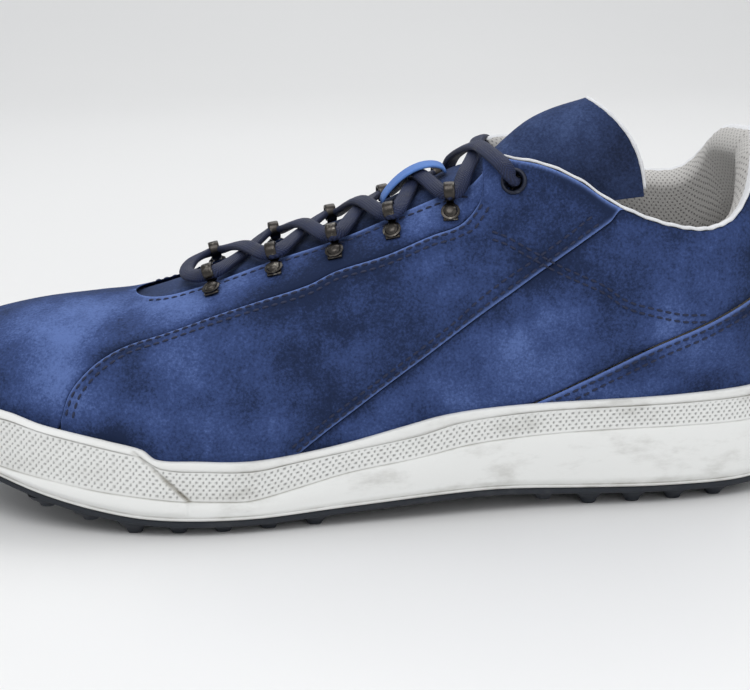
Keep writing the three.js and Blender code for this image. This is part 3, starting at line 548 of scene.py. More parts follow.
# ---- seams, heights by share of half the length ----
vampSeam = through([
    (-0.65, 34), (-0.633, 42.8), (-0.612, 47.8), (-0.57, 53.3), (-0.51, 57.7), (-0.41, 62.5),
    (-0.3, 67.8), (-0.2, 72.5), (-0.1, 76.9), (-0.04, 80.9), (0.068, 85.9), (0.163, 91.6),
    (0.226, 94.9), (0.26, 99.6), (0.277, 105.5), (0.281, 114)])
sideSeam = through([
    (-0.13, 24), (-0.1, 27.5), (0, 38.5), (0.1, 49), (0.2, 59.5), (0.3, 70), (0.4, 80.5),
    (0.46, 86.8), (0.52, 93.1), (0.585, 100)])
heelSeam = through([
    (0.37, 34.8), (0.453, 40), (0.557, 47.4), (0.66, 54.6), (0.785, 61.7), (0.86, 66.8), (1, 78)])
quarterLine = through([
    (0.26, 92.3), (0.313, 90.7), (0.37, 86), (0.437, 80.4), (0.484, 77.1), (0.531, 73.8), (0.578, 68.9),
    (0.631, 66.2), (0.712, 63.3), (0.783, 62.6)])
vampFoot, vampTop = turnAt(-0.647), turnAt(0.28)
sideFoot, sideTop = turnAt(-0.132), turnAt(0.58)
heelFoot = turnAt(0.365)
throat = {"front": -74, "round": 18, "reach": 17.5}


def share(turn):
    return -np.cos(np.radians(turn))


def throatEdge(side, turn):
    # the front of the throat is a quarter of an ellipse, and then it keeps its distance from the middle
    # line
    u = np.clip((topX(turn) * half - throat["front"]) / throat["round"], 0, 1)
    reach = throat["reach"] * np.sqrt(1 - (1 - u) ** 2)
    return np.where(u <= 0, 1.0, upAtReach(side, turn, reach))


def seamUp(seam, shift=0):
    return lambda side, turn: upAtHeight(side, turn, seam(share(turn)) + shift)


def footed(line, foot, run=3.0):
    # a low edge that drops to the feather edge before its foot, out of sight behind the rim
    return lambda side, turn: line(side, turn) * smooth(foot - run, foot, turn)


def sideLine(shift):
    # the seam between the overlay and the rear quarter, run out at the topline
    line = seamUp(sideSeam, shift)
    return lambda side, turn: lerp(line(side, turn), 1.0, smooth(sideTop - 2.5, sideTop, turn))


def vampLine(shift):
    # the seam between the vamp and the overlay, run out at the collar's front corner
    line = seamUp(vampSeam, shift)
    return lambda side, turn: lerp(line(side, turn), 1.0, smooth(vampTop - 0.05, vampTop + 0.05, turn))


# ---- meshes ----
def runs(points, axis):
    # distance gone along one axis of a grid of points
    steps = np.linalg.norm(np.diff(points, axis=axis), axis=-1)
    zero = np.zeros_like(np.take(steps, [0], axis=axis))
    return np.concatenate([zero, np.cumsum(steps, axis=axis)], axis=axis)


def gridFaces(columns, rows, wrap=False):
    i = np.arange(columns if wrap else columns - 1)[:, None]
    j = np.arange(rows - 1)[None, :]
    n = (i + 1) % columns
    return np.stack([i * rows + j, n * rows + j, n * rows + j + 1, i * rows + j + 1], -1).reshape(-1, 4)


def sheetOf(points, flip=False, wrap=False, marks=None, finish=0, uv=None):
    columns, rows = points.shape[:2]
    faces = gridFaces(columns, rows, wrap)
    if uv is None:
        middle = runs(points, 0)[:, rows // 2]
        climb = runs(points, 1)
        uv = np.stack([np.broadcast_to(middle[:, None], climb.shape), climb - climb[:, -1:]], -1)
    return {
        "points": points.reshape(-1, 3), "faces": faces[:, ::-1] if flip else faces,
        "uv": uv.reshape(-1, 2),
            "marks": {k: np.broadcast_to(v, points.shape[:2]).ravel() for k, v in (marks or {}).items()},
            "finish": finish}


def makePiece(name, parts, finishes, nodes=(), carrier="root", sharp=None, weld=0.02):
    # joins sheets into one mesh, closes the seams between them and hangs it on its body
    counts = np.cumsum([0] + [len(p["points"]) for p in parts])
    points = np.concatenate([p["points"] for p in parts]) * mm
    faces = np.concatenate([p["faces"] + c for p, c in zip(parts, counts)])
    uv = np.concatenate([p["uv"] for p in parts])
    mesh = bpy.data.meshes.new(name)
    mesh.from_pydata(points, [], faces.tolist())
    mesh.uv_layers.new(name="run").data.foreach_set("uv", uv[faces.ravel()].astype(np.float32).ravel())
    for key in sorted({k for p in parts for k in p["marks"]}):
        values = np.concatenate([p["marks"].get(key, np.zeros(len(p["points"]))) for p in parts])
        mesh.attributes.new(key, "FLOAT", "POINT").data.foreach_set("value", values.astype(np.float32))
    index = np.concatenate([np.full(len(p["faces"]), p["finish"]) for p in parts])
    mesh.polygons.foreach_set("material_index", index.astype(np.int32))
    mesh.polygons.foreach_set("use_smooth", np.ones(len(faces), bool))
    for finish in finishes:
        mesh.materials.append(finish)
    if weld:
        work = bmesh.new()
        work.from_mesh(mesh)
        bmesh.ops.remove_doubles(work, verts=work.verts, dist=weld * mm)
        bmesh.ops.dissolve_degenerate(work, edges=work.edges, dist=weld * mm * 0.2)
        work.to_mesh(mesh)
        work.free()
    mesh.update()
    if sharp:
        mesh.set_sharp_from_angle(angle=math.radians(sharp))
    item = bpy.data.objects.new(name, mesh)
    scene.collection.objects.link(item)
    if carrier:
        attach(item, carrier)
    if nodes:
        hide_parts(*nodes)
    return item


def thicken(item, thickness, back=0, edge=0):
    solid = item.modifiers.new("thickness", "SOLIDIFY")
    solid.thickness = thickness * mm
    solid.offset = -1
    solid.use_even_offset = True
    solid.thickness_clamp = 1
    solid.material_offset = back
    solid.material_offset_rim = edge
    return item


def tubes(centre, wide, halfWidth, halfThick, sides=8, square=1.0, marks=None, finish=0):
    # Closed tubes: a superellipse section carried along each row of centres. centre is (tube, ring, xyz),
    # wide points across each section, and the section is halfWidth by halfThick.
    centre, wide = np.asarray(centre, float), norm(np.asarray(wide, float))
    ahead = norm(np.gradient(centre, axis=1))
    wide = norm(wide - ahead * (wide * ahead).sum(-1, keepdims=True))
    thin = np.cross(ahead, wide)
    angle = np.linspace(0, 2 * np.pi, sides, endpoint=False) + np.pi / sides
    c, s = np.cos(angle), np.sin(angle)
    c, s = np.sign(c) * np.abs(c) ** square, np.sign(s) * np.abs(s) ** square
    a = np.broadcast_to(halfWidth, centre.shape[:2])[..., None, None]
    b = np.broadcast_to(halfThick, centre.shape[:2])[..., None, None]
    points = centre[:, :, None] + wide[:, :, None] * a * c[:, None] + thin[:, :, None] * b * s[:, None]
    count, rings = centre.shape[:2]
    ring, j = np.arange(rings - 1)[:, None], np.arange(sides)[None, :]
    n = (j + 1) % sides
    walls = np.stack(
        [ring * sides + j, ring * sides + n, (ring + 1) * sides + n, (ring + 1) * sides + j],
        -1).reshape(-1, 4)
    k = np.arange(sides // 2 - 1)
    cap = np.stack([k, k + 1, sides - 2 - k, sides - 1 - k], -1)
    each = np.concatenate([walls, cap + (rings - 1) * sides, cap[:, ::-1]])
    faces = (each[None] + (np.arange(count) * rings * sides)[:, None, None]).reshape(-1, 4)
    gone = runs(centre, 1)[:, :, None]
    u = np.broadcast_to((a * c[:, None])[..., 0], points.shape[:3])
    uv = np.stack([u, np.broadcast_to(gone, u.shape)], -1)
    spread = {
        key: np.broadcast_to(np.asarray(v)[..., None], u.shape).ravel() for key, v in (marks or {}).items()}
    return {
        "points": points.reshape(-1, 3), "faces": faces, "uv": uv.reshape(-1, 2), "marks": spread,
        "finish": finish}


def stationsBetween(start, end, step=1.0, extra=()):
    # turns from start to end, close together wherever an edge runs steeply or a hole is cut
    fine = [
        (vampFoot, vampFoot + 6, 0.12), (sideFoot, sideFoot + 5, 0.15), (turnAt(0.2), turnAt(0.3), 0.08),
            (turnAt(0.48), sideTop + 0.5, 0.15), *extra]
    turns = [np.arange(start, end, step), [end, vampFoot, vampTop, sideFoot, sideTop, heelFoot]]
    turns += [np.arange(a, b, s) for a, b, s in fine]
    table = np.linspace(55, 80, 800)
    near = throat["round"] * np.linspace(0, 1, 20) ** 2
    turns.append(np.interp(throat["front"] + near, topX(table) * half, table))
    every = np.unique(np.round(np.concatenate(turns), 4))
    every = every[(every >= start) & (every <= end)]
    keep = np.concatenate([[True], np.diff(every) > 0.03])
    keep[-1] = True
    return every[keep]


def ripple(p):
    # soft unevenness of lasted suede, the same on every panel
    x, y, z = p[..., 0], p[..., 1], p[..., 2]
    return 0.2 * np.sin(x / 16 + 1.3) * np.sin(z / 10 + 0.5) + 0.12 * np.sin(x / 7.3 + z / 6.1 + y / 9)


# painted shade at the toe and along the seams, a painted highlight round the throat, and the width of the
# band of painted highlight and rubbing along cut edges
paintedLightAndWear = {
    "toeShade": 0.75, "toeFrom": -142, "toeTo": -88, "glow": 0.8, "glowReach": 17, "rub": 1.0,
    "seamShade": 3.2}


def panel(side, turns, low, high, rows, proud, rolls=(1, 1), roll=0.55, hole=None, rubHighlightEdges=(0, 0)):
    # A piece of suede on the last between two edges. Rows crowd towards both edges, where the surface rolls
    # in.
    v = 0.5 - 0.5 * np.cos(np.pi * np.linspace(0, 1, rows + 1))
    up = lerp(low(side, turns)[:, None], high(side, turns)[:, None], v)
    turn = np.broadcast_to(turns[:, None], up.shape)
    spot = last(side, turn, up)
    climb = runs(spot, 1)
    left = climb[:, -1:] - climb
    edge = rolls[0] * np.exp(-climb / 0.5) + rolls[1] * np.exp(-left / 0.5)
    # painted shade along the sewn edges and low on the upper by the cupsole's rim
    shade = np.clip(
        rolls[0] * np.exp(-climb / paintedLightAndWear["seamShade"]) + rolls[1] * np.exp(-left / paintedLightAndWear["seamShade"]), 0, 1)
    nearRim = np.clip(1 - (spot[..., 2] - rim(spot[..., 0])) / 9, 0, 1)
    # the band of painted highlight and rubbing at the cut edges; none along the closed ridge
    topRubHighlight = rubHighlightEdges[1] * (smooth(-77, -73, spot[..., 0]) if rolls[1] == 0 else 1)
    rubbed = np.clip(
        rubHighlightEdges[0] * np.exp(-(climb / paintedLightAndWear["rub"]) ** 2) + topRubHighlight * np.exp(-(left / paintedLightAndWear["rub"]) ** 2), 0, 1)
    # painted shade towards the toe, and a painted highlight round the throat
    toe = paintedLightAndWear["toeShade"] * (
        1 - smooth(paintedLightAndWear["toeFrom"], paintedLightAndWear["toeTo"], spot[..., 0])) * smooth(80, 50, spot[..., 2])
    glow = paintedLightAndWear["glow"] * (1 - rolls[1]) * np.exp(
        -(left / paintedLightAndWear["glowReach"]) ** 2) * smooth(-95, -70, spot[..., 0])
    shade = np.maximum(np.maximum(shade, nearRim * 0.8), toe) - glow
    lift = proud - roll * np.clip(edge, 0, 1) + ripple(spot)
    points = spot + outward(side, turn, up) * lift[..., None]
    part = sheetOf(points, flip=side > 0, marks={"shade": shade, "rubbed": rubbed})
    if hole:
        centre, radius = hole
        middle = part["points"][part["faces"]].mean(1)
        part["faces"] = part["faces"][np.linalg.norm(middle - centre, axis=1) > radius]
    return part


# ---- hardware places ----
hardware = {
    "loopAt": [-46.9, -26.4, -6.8, 11.9, 30.5], "loopInset": 23.5, "eyeletAt": 50.7, "eyeletInset": 27.8,
    "strapWidth": 3.6, "strapThick": 0.85, "eye": 2.3, "reach": 6.3, "cap": 3.1, "flange": 4.35,
    "bore": 2.6,
}


def frameAt(side, x, reach):
    # a place on the last at x and at a distance from the middle line, with the directions along, up and out
    turn = turnAt(x / half)
    for _ in range(4):
        p = last(side, turn, upAtReach(side, turn, reach))
        turn += (x - p[0]) / (half * math.sin(math.radians(turn)) * math.radians(1))
    up = upAtReach(side, turn, reach)
    out = ownNormal(side, turn, up)
    climb = norm(last(side, turn, up + 0.01) - last(side, turn, up - 0.01))
    return {"origin": last(side, turn, up), "axes": np.array([norm(np.cross(climb, out)), climb, out])}


sideName = {-1: "lateral", 1: "medial"}
loopFrames = {
    (s, i): frameAt(s, x, hardware["loopInset"]) for s in (-1, 1) for i, x in enumerate(hardware["loopAt"])}
eyeletFrames = {s: frameAt(s, hardware["eyeletAt"], hardware["eyeletInset"]) for s in (-1, 1)}


def seated(local, place):
    return place["origin"] + np.asarray(local, float) @ place["axes"]


# ---- lace ----
lace = {"width": 5.2, "thick": 2.6, "eyeWidth": 4.3, "eyeThick": 2.9, "step": 1.1}
laceRoute = [
    (72, 2, 34), (88, 1, 34.1), (102, -4, 34.8), (112, -11, 38), (112, -17, 47), (103, -19.5, 56),
    (90, -20.4, 66), (78, -20, 77), (66, -19.6, 88), (57.5, -20.4, 99), (53, -22.4, 106.6),
    (50.7, -27, 108.5), (49.4, -30, 110.2), (47, -28.4, 113.8), (43.5, -16, 116.4), (40.5, 1, 116.2),
    (35.2, 18.5, 109.8), (32.3, 24.6, 103), (27.9, 24, 102.6), (20.7, 1.5, 104.6),
    (13.2, -21.3, 98.9), (9, -20.5, 97.9), (1.9, 0.5, 98.4), (-5.1, 22.4, 90.2), (-9.5, 21.8, 89.6),
    (-17.3, 1.5, 87.9), (-25.1, -18.4, 85.8), (-29.3, -17.8, 84.7), (-37.4, 2, 83.4),
    (-45.6, 21.9, 78), (-49.8, 21.5, 77), (-54.8, 13, 76.2), (-56.5, 2.5, 75.3), (-54.8, -8, 75.8),
    (-50.1, -16.2, 77.4), (-45.9, -16.6, 78.8), (-37.4, 2, 80.5), (-29.1, 21.3, 83.8),
    (-24.9, 21.9, 84.6), (-17.3, 1.5, 90.8), (-9.6, -19.5, 90.9), (-5.4, -20.1, 91.9),
    (1.9, 0.5, 95.5), (9, 22.5, 96.1), (13.3, 23.2, 97.1), (20.7, 1.5, 107), (28.1, -22, 104.6),
    (32.5, -22.4, 104.8), (36, -15.5, 109.8), (40.5, 1, 113.2), (43.3, 16, 115.8), (47.2, 28, 113.6),
    (49.3, 32.4, 109.2), (50.7, 29.7, 107.4), (53, 25.4, 105.2), (57, 23.6, 99), (66, 24, 92.5),
    (80, 26.5, 88), (95, 27.8, 85.5), (107, 26.4, 81.5), (115, 23, 73), (118, 19, 62),
    (116, 15.5, 50), (109, 13, 40.5), (97, 12, 36), (82, 12, 35.4),
]


def makeLace():
    # The route is a smooth curve through its points, knotted by the square root of their spacing. The flat
    # side faces out from the foot over the instep and lies against the wall inside, and it bunches up in
    # each eye.
    route = np.array(laceRoute, float)
    knots = np.concatenate([[0], np.cumsum(np.linalg.norm(np.diff(route, axis=0), axis=1) ** 0.5)])
    curve = [through(list(zip(knots, route[:, k]))) for k in range(3)]
    dense = np.linspace(0, knots[-1], 6000)
    line = np.stack([c(dense) for c in curve], -1)
    gone = runs(line, 0)
    count = int(gone[-1] / lace["step"])
    at = np.linspace(0, gone[-1], count)
    centre = np.stack([np.interp(at, gone, line[:, k]) for k in range(3)], -1)
    knot = np.interp(at, gone, dense)
    tail = np.maximum(1 - smooth(knots[10], knots[13], knot), smooth(knots[51], knots[54], knot))
    over = np.stack([-0.25 + 0 * at, -0.35 + centre[:, 1] / 26, 0.9 + 0 * at], -1)
    inner = np.stack(
        [0 * at, -np.sign(centre[:, 1]) * smooth(36, 46, centre[:, 2]), 1 - smooth(36, 46, centre[:, 2])],
        -1)
    face = norm(over * (1 - tail)[:, None] + inner * tail[:, None] + 1e-6)
    ahead = norm(np.gradient(centre, axis=0))
    wide = norm(np.cross(face, ahead))
    for _ in range(14):
        wide = norm(wide + 0.5 * (np.roll(wide, 1, 0) + np.roll(wide, -1, 0)))
    eyes = [seated((0, hardware["reach"], 3.1), f) for f in loopFrames.values()]
    eyes += [f["origin"] for f in eyeletFrames.values()]
    near = np.min([np.linalg.norm(centre - e, axis=1) for e in eyes], axis=0)
    bunch = 1 - smooth(1.0, 3.4, near)
    ends = smooth(0, 6, at) * smooth(0, 6, at[-1] - at)
    width = lerp(lace["width"], lace["eyeWidth"], bunch) * lerp(0.42, 1, ends) / 2
    thick = lerp(lace["thick"], lace["eyeThick"], bunch) / 2
    part = tubes(centre[None], wide[None], width[None], thick[None], 16, 0.75)
    item = makePiece("lace_flat", [part], [laceWeave], ["shoelace"], weld=0)
    return item, centre, float(gone[-1])


lacePiece, laceLine, laceLength = makeLace()
aglet = {"length": 18, "radius": 1.15, "crimp": 0.12}


def makeAglet(name, tip, before, node):
    # a tight plastic tube with two crimped rings and a rounded end
    away = norm(tip - before)
    t = np.linspace(0, 1, 40)
    centre = tip + away * (body["gap"] + t * aglet["length"])[:, None]
    rings = np.exp(-((t - 0.2) / 0.02) ** 2) + np.exp(-((t - 0.3) / 0.02) ** 2)
    radius = aglet["radius"] * np.sqrt(np.clip(1 - ((t - 0.5) * 2) ** 18, 0.02, 1)) - aglet["crimp"] * rings
    part = tubes(centre[None], np.array([0, 0, 1.0]) + 0 * centre[None], radius[None], radius[None], 16)
    return makePiece(name, [part], [gloss], [node])


agletPieces = [
    makeAglet(
        "aglet_tube_lateral", np.array(laceRoute[0], float), np.array(laceRoute[1], float),
        "aglet_lateral"),
    makeAglet(
        "aglet_tube_medial", np.array(laceRoute[-1], float), np.array(laceRoute[-2], float),
        "aglet_medial"),
]
print("lace is laid,", round(laceLength), "mm")

# ---- suede upper ----
upper = {"proud": 0.75, "gap": 0.15, "rows": 44, "thickness": 1.5}


def zero(side, turn):
    return 0.0 * turn


def makeUpper(look):
    g = look["gap"]
    turns = stationsBetween(0, vampTop)
    vampLow = footed(vampLine(g), vampFoot)
    parts = [panel(s, turns, vampLow, throatEdge, look["rows"], 0, (1, 0), rubHighlightEdges=(0, 1)) for s in (-1, 1)]
    thicken(
        makePiece("vamp_suede", parts, [suede, suedeFoxing, suedeEdge], ["vamp"]),
        look["thickness"], 1, 2)
    for side in (-1, 1):
        name = sideName[side]
        hole = (eyeletFrames[side]["origin"], 3.1)
        eyeTurn = turnAt(hardware["eyeletAt"] / half)
        turns = stationsBetween(vampFoot + 0.1, sideTop, extra=[(eyeTurn - 3.4, eyeTurn + 3.4, 0.14)])
        high = vampLine(-g)
        part = panel(
            side, turns, footed(sideLine(g), sideFoot), high, 72, look["proud"], hole=hole, rubHighlightEdges=(1, 1))
        thicken(makePiece(f"overlay_suede_{name}", [part], [suede, suedeFoxing, suedeEdge],
                          [f"quarter_overlay_{name}"]), look["thickness"] + look["proud"], 1, 2)
        turns = stationsBetween(sideFoot + 0.1, 180)
        part = panel(side, turns, footed(seamUp(heelSeam, g), heelFoot), sideLine(-g), look["rows"], 0)
        thicken(makePiece(f"quarter_suede_{name}", [part], [suede, suedeFoxing, suedeEdge],
                          [f"rear_quarter_{name}"]), look["thickness"], 1, 2)
    turns = stationsBetween(heelFoot + 0.1, 180)
    parts = [
        panel(
            s, turns, zero, seamUp(heelSeam, -g), 24, look["proud"], (0, 1), rubHighlightEdges=(0, 1)) for s in (-1, 1)]
    thicken(
        makePiece(
            "heel_foxing_suede", parts, [suedeFoxing, suedeFoxing, suedeEdge], ["heel_foxing"]),
            look["thickness"] + look["proud"], 1, 2)


makeUpper(upper)
print("upper is lasted")

# ---- stitching ----
stitching = {"length": 2.3, "gap": 0.75, "radius": 0.37, "rings": 7, "sides": 6, "rows": (1.5, 3.9)}


def stitches(line, normal):
    # short threads along a line on the surface, each dipping into the suede at its two ends
    gone = runs(line, 0)
    pitch = stitching["length"] + stitching["gap"]
    starts = np.arange(0.4, gone[-1] - pitch, pitch)
    t = np.linspace(0, 1, stitching["rings"])
    s = starts[:, None] + t * stitching["length"]
    at = np.stack([np.interp(s, gone, line[:, k]) for k in range(3)], -1)
    n = norm(np.stack([np.interp(s, gone, normal[:, k]) for k in range(3)], -1))
    arch = np.sin(np.pi * t) ** 0.6
    centre = at + n * (stitching["radius"] * (arch * 1.15 - 0.75))[:, None]
    radius = stitching["radius"] * (0.5 + 0.5 * arch)
    wide = np.cross(n, norm(np.gradient(centre, axis=1)))
    return tubes(centre, wide, radius * 1.15, radius * 0.9, stitching["sides"])


def surfaceLine(side, turns, up, proud):
    spot = last(side, turns, up)
    normal = outward(side, turns, up)
    return spot + normal * (proud + ripple(spot))[:, None], normal


def alongEdge(side, start, end, edge, shift, proud):
    # a line at a distance from an edge of a panel, measured down the last, or up it where shift is negative
    turns = np.linspace(start, end, 700)
    base = edge(side, turns)
    inside = np.clip(base, 0.01, 0.99)
    span = last(side, turns, np.clip(base + 0.01, 0, 1)) - last(side, turns, np.clip(base - 0.01, 0, 1))
    perShare = np.maximum(np.linalg.norm(span, axis=-1) / 0.02, 1)  # millimetres gone per whole way up
    spot, normal = surfaceLine(side, turns, inside, proud)
    ahead = norm(np.gradient(spot, axis=0))
    moved = spot + norm(np.cross(normal, ahead)) * side * shift
    # the turn and the share of the way up at which the surface has the moved point's place
    perTurn = half * np.sin(np.radians(turns)) * math.radians(1)
    turnMoved = turns + np.clip(moved[:, 0] - spot[:, 0], -6, 6) / perTurn
    low = np.clip(base, 0, 0.98)
    steep = np.maximum(np.abs(norm(last(side, turns, low + 0.01) - last(side, turns, low))[:, 2]), 0.25)
    upMoved = np.clip(base + (moved[:, 2] - spot[:, 2]) / perShare / steep, 0.02, 0.995)
    return surfaceLine(side, turnMoved, upMoved, proud)


def makeStitching():
    parts = []
    proud = upper["proud"]
    for side in (-1, 1):
        for shift in stitching["rows"]:
            parts.append(
                stitches(*alongEdge(side, vampFoot + 0.3, vampTop - 0.4, vampLine(0), shift, proud)))
            parts.append(
                stitches(*alongEdge(side, sideFoot + 0.2, sideTop - 3, sideLine(0), -shift, proud)))
            parts.append(stitches(*alongEdge(side, heelFoot + 1.5, 179.5, seamUp(heelSeam), shift, proud)))
            rowShift = shift - 2.7
            turns = np.linspace(vampTop + 0.5, turnAt(0.775), 500)
            up = upAtHeight(side, turns, quarterLine(share(turns)) + rowShift)
            lifted = np.where(up > sideLine(0)(side, turns), proud, 0.0)
            spot, normal = surfaceLine(side, turns, up, lifted)
            parts.append(stitches(spot, normal))
        turns = stationsBetween(turnAt(-0.46), vampTop - 1.2, 0.5)
        turns = turns[topX(turns) * half > throat["front"] - 1.5]
        u = np.clip((topX(turns) * half - throat["front"] + 2.2) / (throat["round"] + 2.2), 0, 1)
        up = upAtReach(side, turns, (throat["reach"] + 2.4) * np.sqrt(1 - (1 - u) ** 2))
        parts.append(stitches(*surfaceLine(side, turns, up, 0.0)))
    makePiece("seam_stitching", parts, [thread], weld=0)


makeStitching()
print("seams are sewn")

# ---- stiffeners, padding and lining ----
stiffDepth = body["suede"] + body["layerGap"]
liningDepth = stiffDepth + body["stiffener"] + body["layerGap"]


def padDepth(up, turn):
    return body["padding"] * smooth(0.42, 0.72, up) * smooth(108, 122, turn)


def innerLayer(name, start, end, low, high, outer, inner, rows, finish, node):
    # a closed layer of even turns between two depths under the suede
    turns = np.linspace(start, end, int((end - start) / 1.5) + 2)
    v = np.linspace(0, 1, rows + 1)
    parts = []
    for side in (-1, 1):
        up = lerp(low, high, v)[None, :] + 0 * turns[:, None]
        turn = turns[:, None] + 0 * up
        spot, out = last(side, turn, up), outward(side, turn, up)
        face = spot - out * outer(up, turn)[..., None]
        back = spot - out * inner(up, turn)[..., None]
        lips = [np.stack([back[:, 0], face[:, 0]], 1), np.stack([face[:, -1], back[:, -1]], 1)]
        parts += [sheetOf(face, side > 0), sheetOf(back, side < 0)]
        parts += [sheetOf(lip, side > 0) for lip in lips]
        for column, flipped in ((0, side > 0), (-1, side < 0)):
            if (column == 0 and start > 0.01) or (column == -1 and end < 179.9):
                wall = np.stack([back[column], face[column]], 0)
                parts.append(sheetOf(wall, flipped))
    return makePiece(name, parts, [finish], [node])


innerLayer("toe_puff_shell", 0, 44, 0.06, 0.8, lambda u, t: stiffDepth + 0 * u,
           lambda u, t: stiffDepth + body["stiffener"] + 0 * u, 12, stiffBoard, "toe_puff")
innerLayer("heel_counter_shell", 126, 180, 0.32, 0.55, lambda u, t: stiffDepth + 0 * u,
           lambda u, t: stiffDepth + body["stiffener"] + 0 * u, 8, stiffBoard, "heel_counter")
collarPad = innerLayer(
    "collar_padding", 116, 180, 0.58, 0.95, lambda u, t: stiffDepth + 0 * u,
    lambda u, t: np.maximum(liningDepth + padDepth(u, t) - 0.5, stiffDepth + 1), 12, openFoam,
    "collar_foam")

lining = {"start": 107.6, "turnOver": 0.93, "lip": 1.25, "rows": 34, "roll": 12}


def makeCollarLining(look):
    # The mesh climbs the inner wall, rolls over the padding and ends on the suede's cut edge, where it
    # shows as a pale lip.
    turns = stationsBetween(look["start"], 180, 1.0)
    wall = np.linspace(0, 1, look["rows"])
    rollAngle = np.linspace(0, np.pi / 2, look["roll"] + 1)[1:]
    parts = []
    for side in (-1, 1):
        upRow = np.concatenate(
            [look["turnOver"] * wall, look["turnOver"] + (1 - look["turnOver"]) * np.sin(rollAngle)])
        curl = np.concatenate([np.zeros(look["rows"]), np.sin(rollAngle)])
        up = upRow[None, :] + 0 * turns[:, None]
        turn = turns[:, None] + 0 * up
        deep = liningDepth + body["lining"] + padDepth(up, turn)
        settle = np.concatenate([np.zeros(look["rows"]), 1 - np.cos(rollAngle)])
        depth = lerp(deep, body["suede"] * 0.35, settle)
        spot, out = last(side, turn, up), outward(side, turn, up)
        points = spot - out * depth[..., None]
        points[..., 2] += look["lip"] * curl ** 2 + 0.15 * np.sin(turn * 1.7) * curl
        # the last strip turns down over the cut edge
        down = points[:, -1:] + np.stack(
            [0 * turns, 0 * turns, 0 * turns - 1.1], -1)[:, None] + out[:, -1:] * 0.35
        brim = np.concatenate([points[:, -3:], (points[:, -1:] + down) / 2 + out[:, -1:] * 0.35, down], 1)
        parts += [sheetOf(points[:, :-2], side < 0), sheetOf(brim, side < 0, finish=1)]
    return makePiece("collar_mesh", parts, [collarMesh, paleEdge], ["collar_lining"])


thicken(makeCollarLining(lining), 0.7)


def liningTop(side, turn):
    u = np.clip((topX(turn) * half - throat["front"] + 6) / (throat["round"] + 8), 0, 1)
    reach = (hardware["loopInset"] + 9) * np.sqrt(1 - (1 - u) ** 2)
    return np.where(u <= 0, 1.0, upAtReach(side, turn, reach))


def makeVampLining():
    turns = stationsBetween(0, lining["start"] - 0.3, 1.5)
    v = np.linspace(0, 1, 25)
    parts = []
    for side in (-1, 1):
        up = liningTop(side, turns)[:, None] * v
        turn = turns[:, None] + 0 * up
        points = last(side, turn, up) - outward(side, turn, up) * (liningDepth + 1)
        parts.append(sheetOf(points, side < 0))
    return makePiece("vamp_mesh", parts, [collarMesh], ["vamp_lining"])


thicken(makeVampLining(), 0.8)
print("lining is in")

# ---- tongue: one padded piece from the throat to its tip ----
tongue = {
    "start": -84, "half": 20.5, "hinge": (45, 113.2), "y": 2, "rise": 28, "length": 38.5, "flapHalf": 16.2,
    "depth": 39,
    "thick": 2.6, "blendBefore": 7, "blendAfter": 9, "binding": 0.95, "taper": 0.1, "swell": 4.4,
    "tipRound": 1.2, "hump": 3.0, "lift": 1.2, "tuck": 2,
}


def instep(turn, y):
    # the last as if it were closed along its ridge
    sides = [
        np.array(
            [np.broadcast_to(c, np.broadcast(turn, y).shape) for c in feather(s, turn)]) for s in (-1, 1)]
    f = np.where(y < ridgeY(turn), sides[0], sides[1])
    x = topX(turn) + 0 * y
    ty = ridgeY(turn) + 0 * y
    across = np.clip((y - f[1]) / (ty - f[1] + 1e-9), 0, 1)
    power = fullness(np.minimum(turn, 100))
    rise = (1 - (1 - across) ** (2 / power)) ** (power / 2)
    return np.stack([lerp(f[0], x * half, across), y + 0 * x, lerp(f[2], ridgeZ(x), rise)], -1)


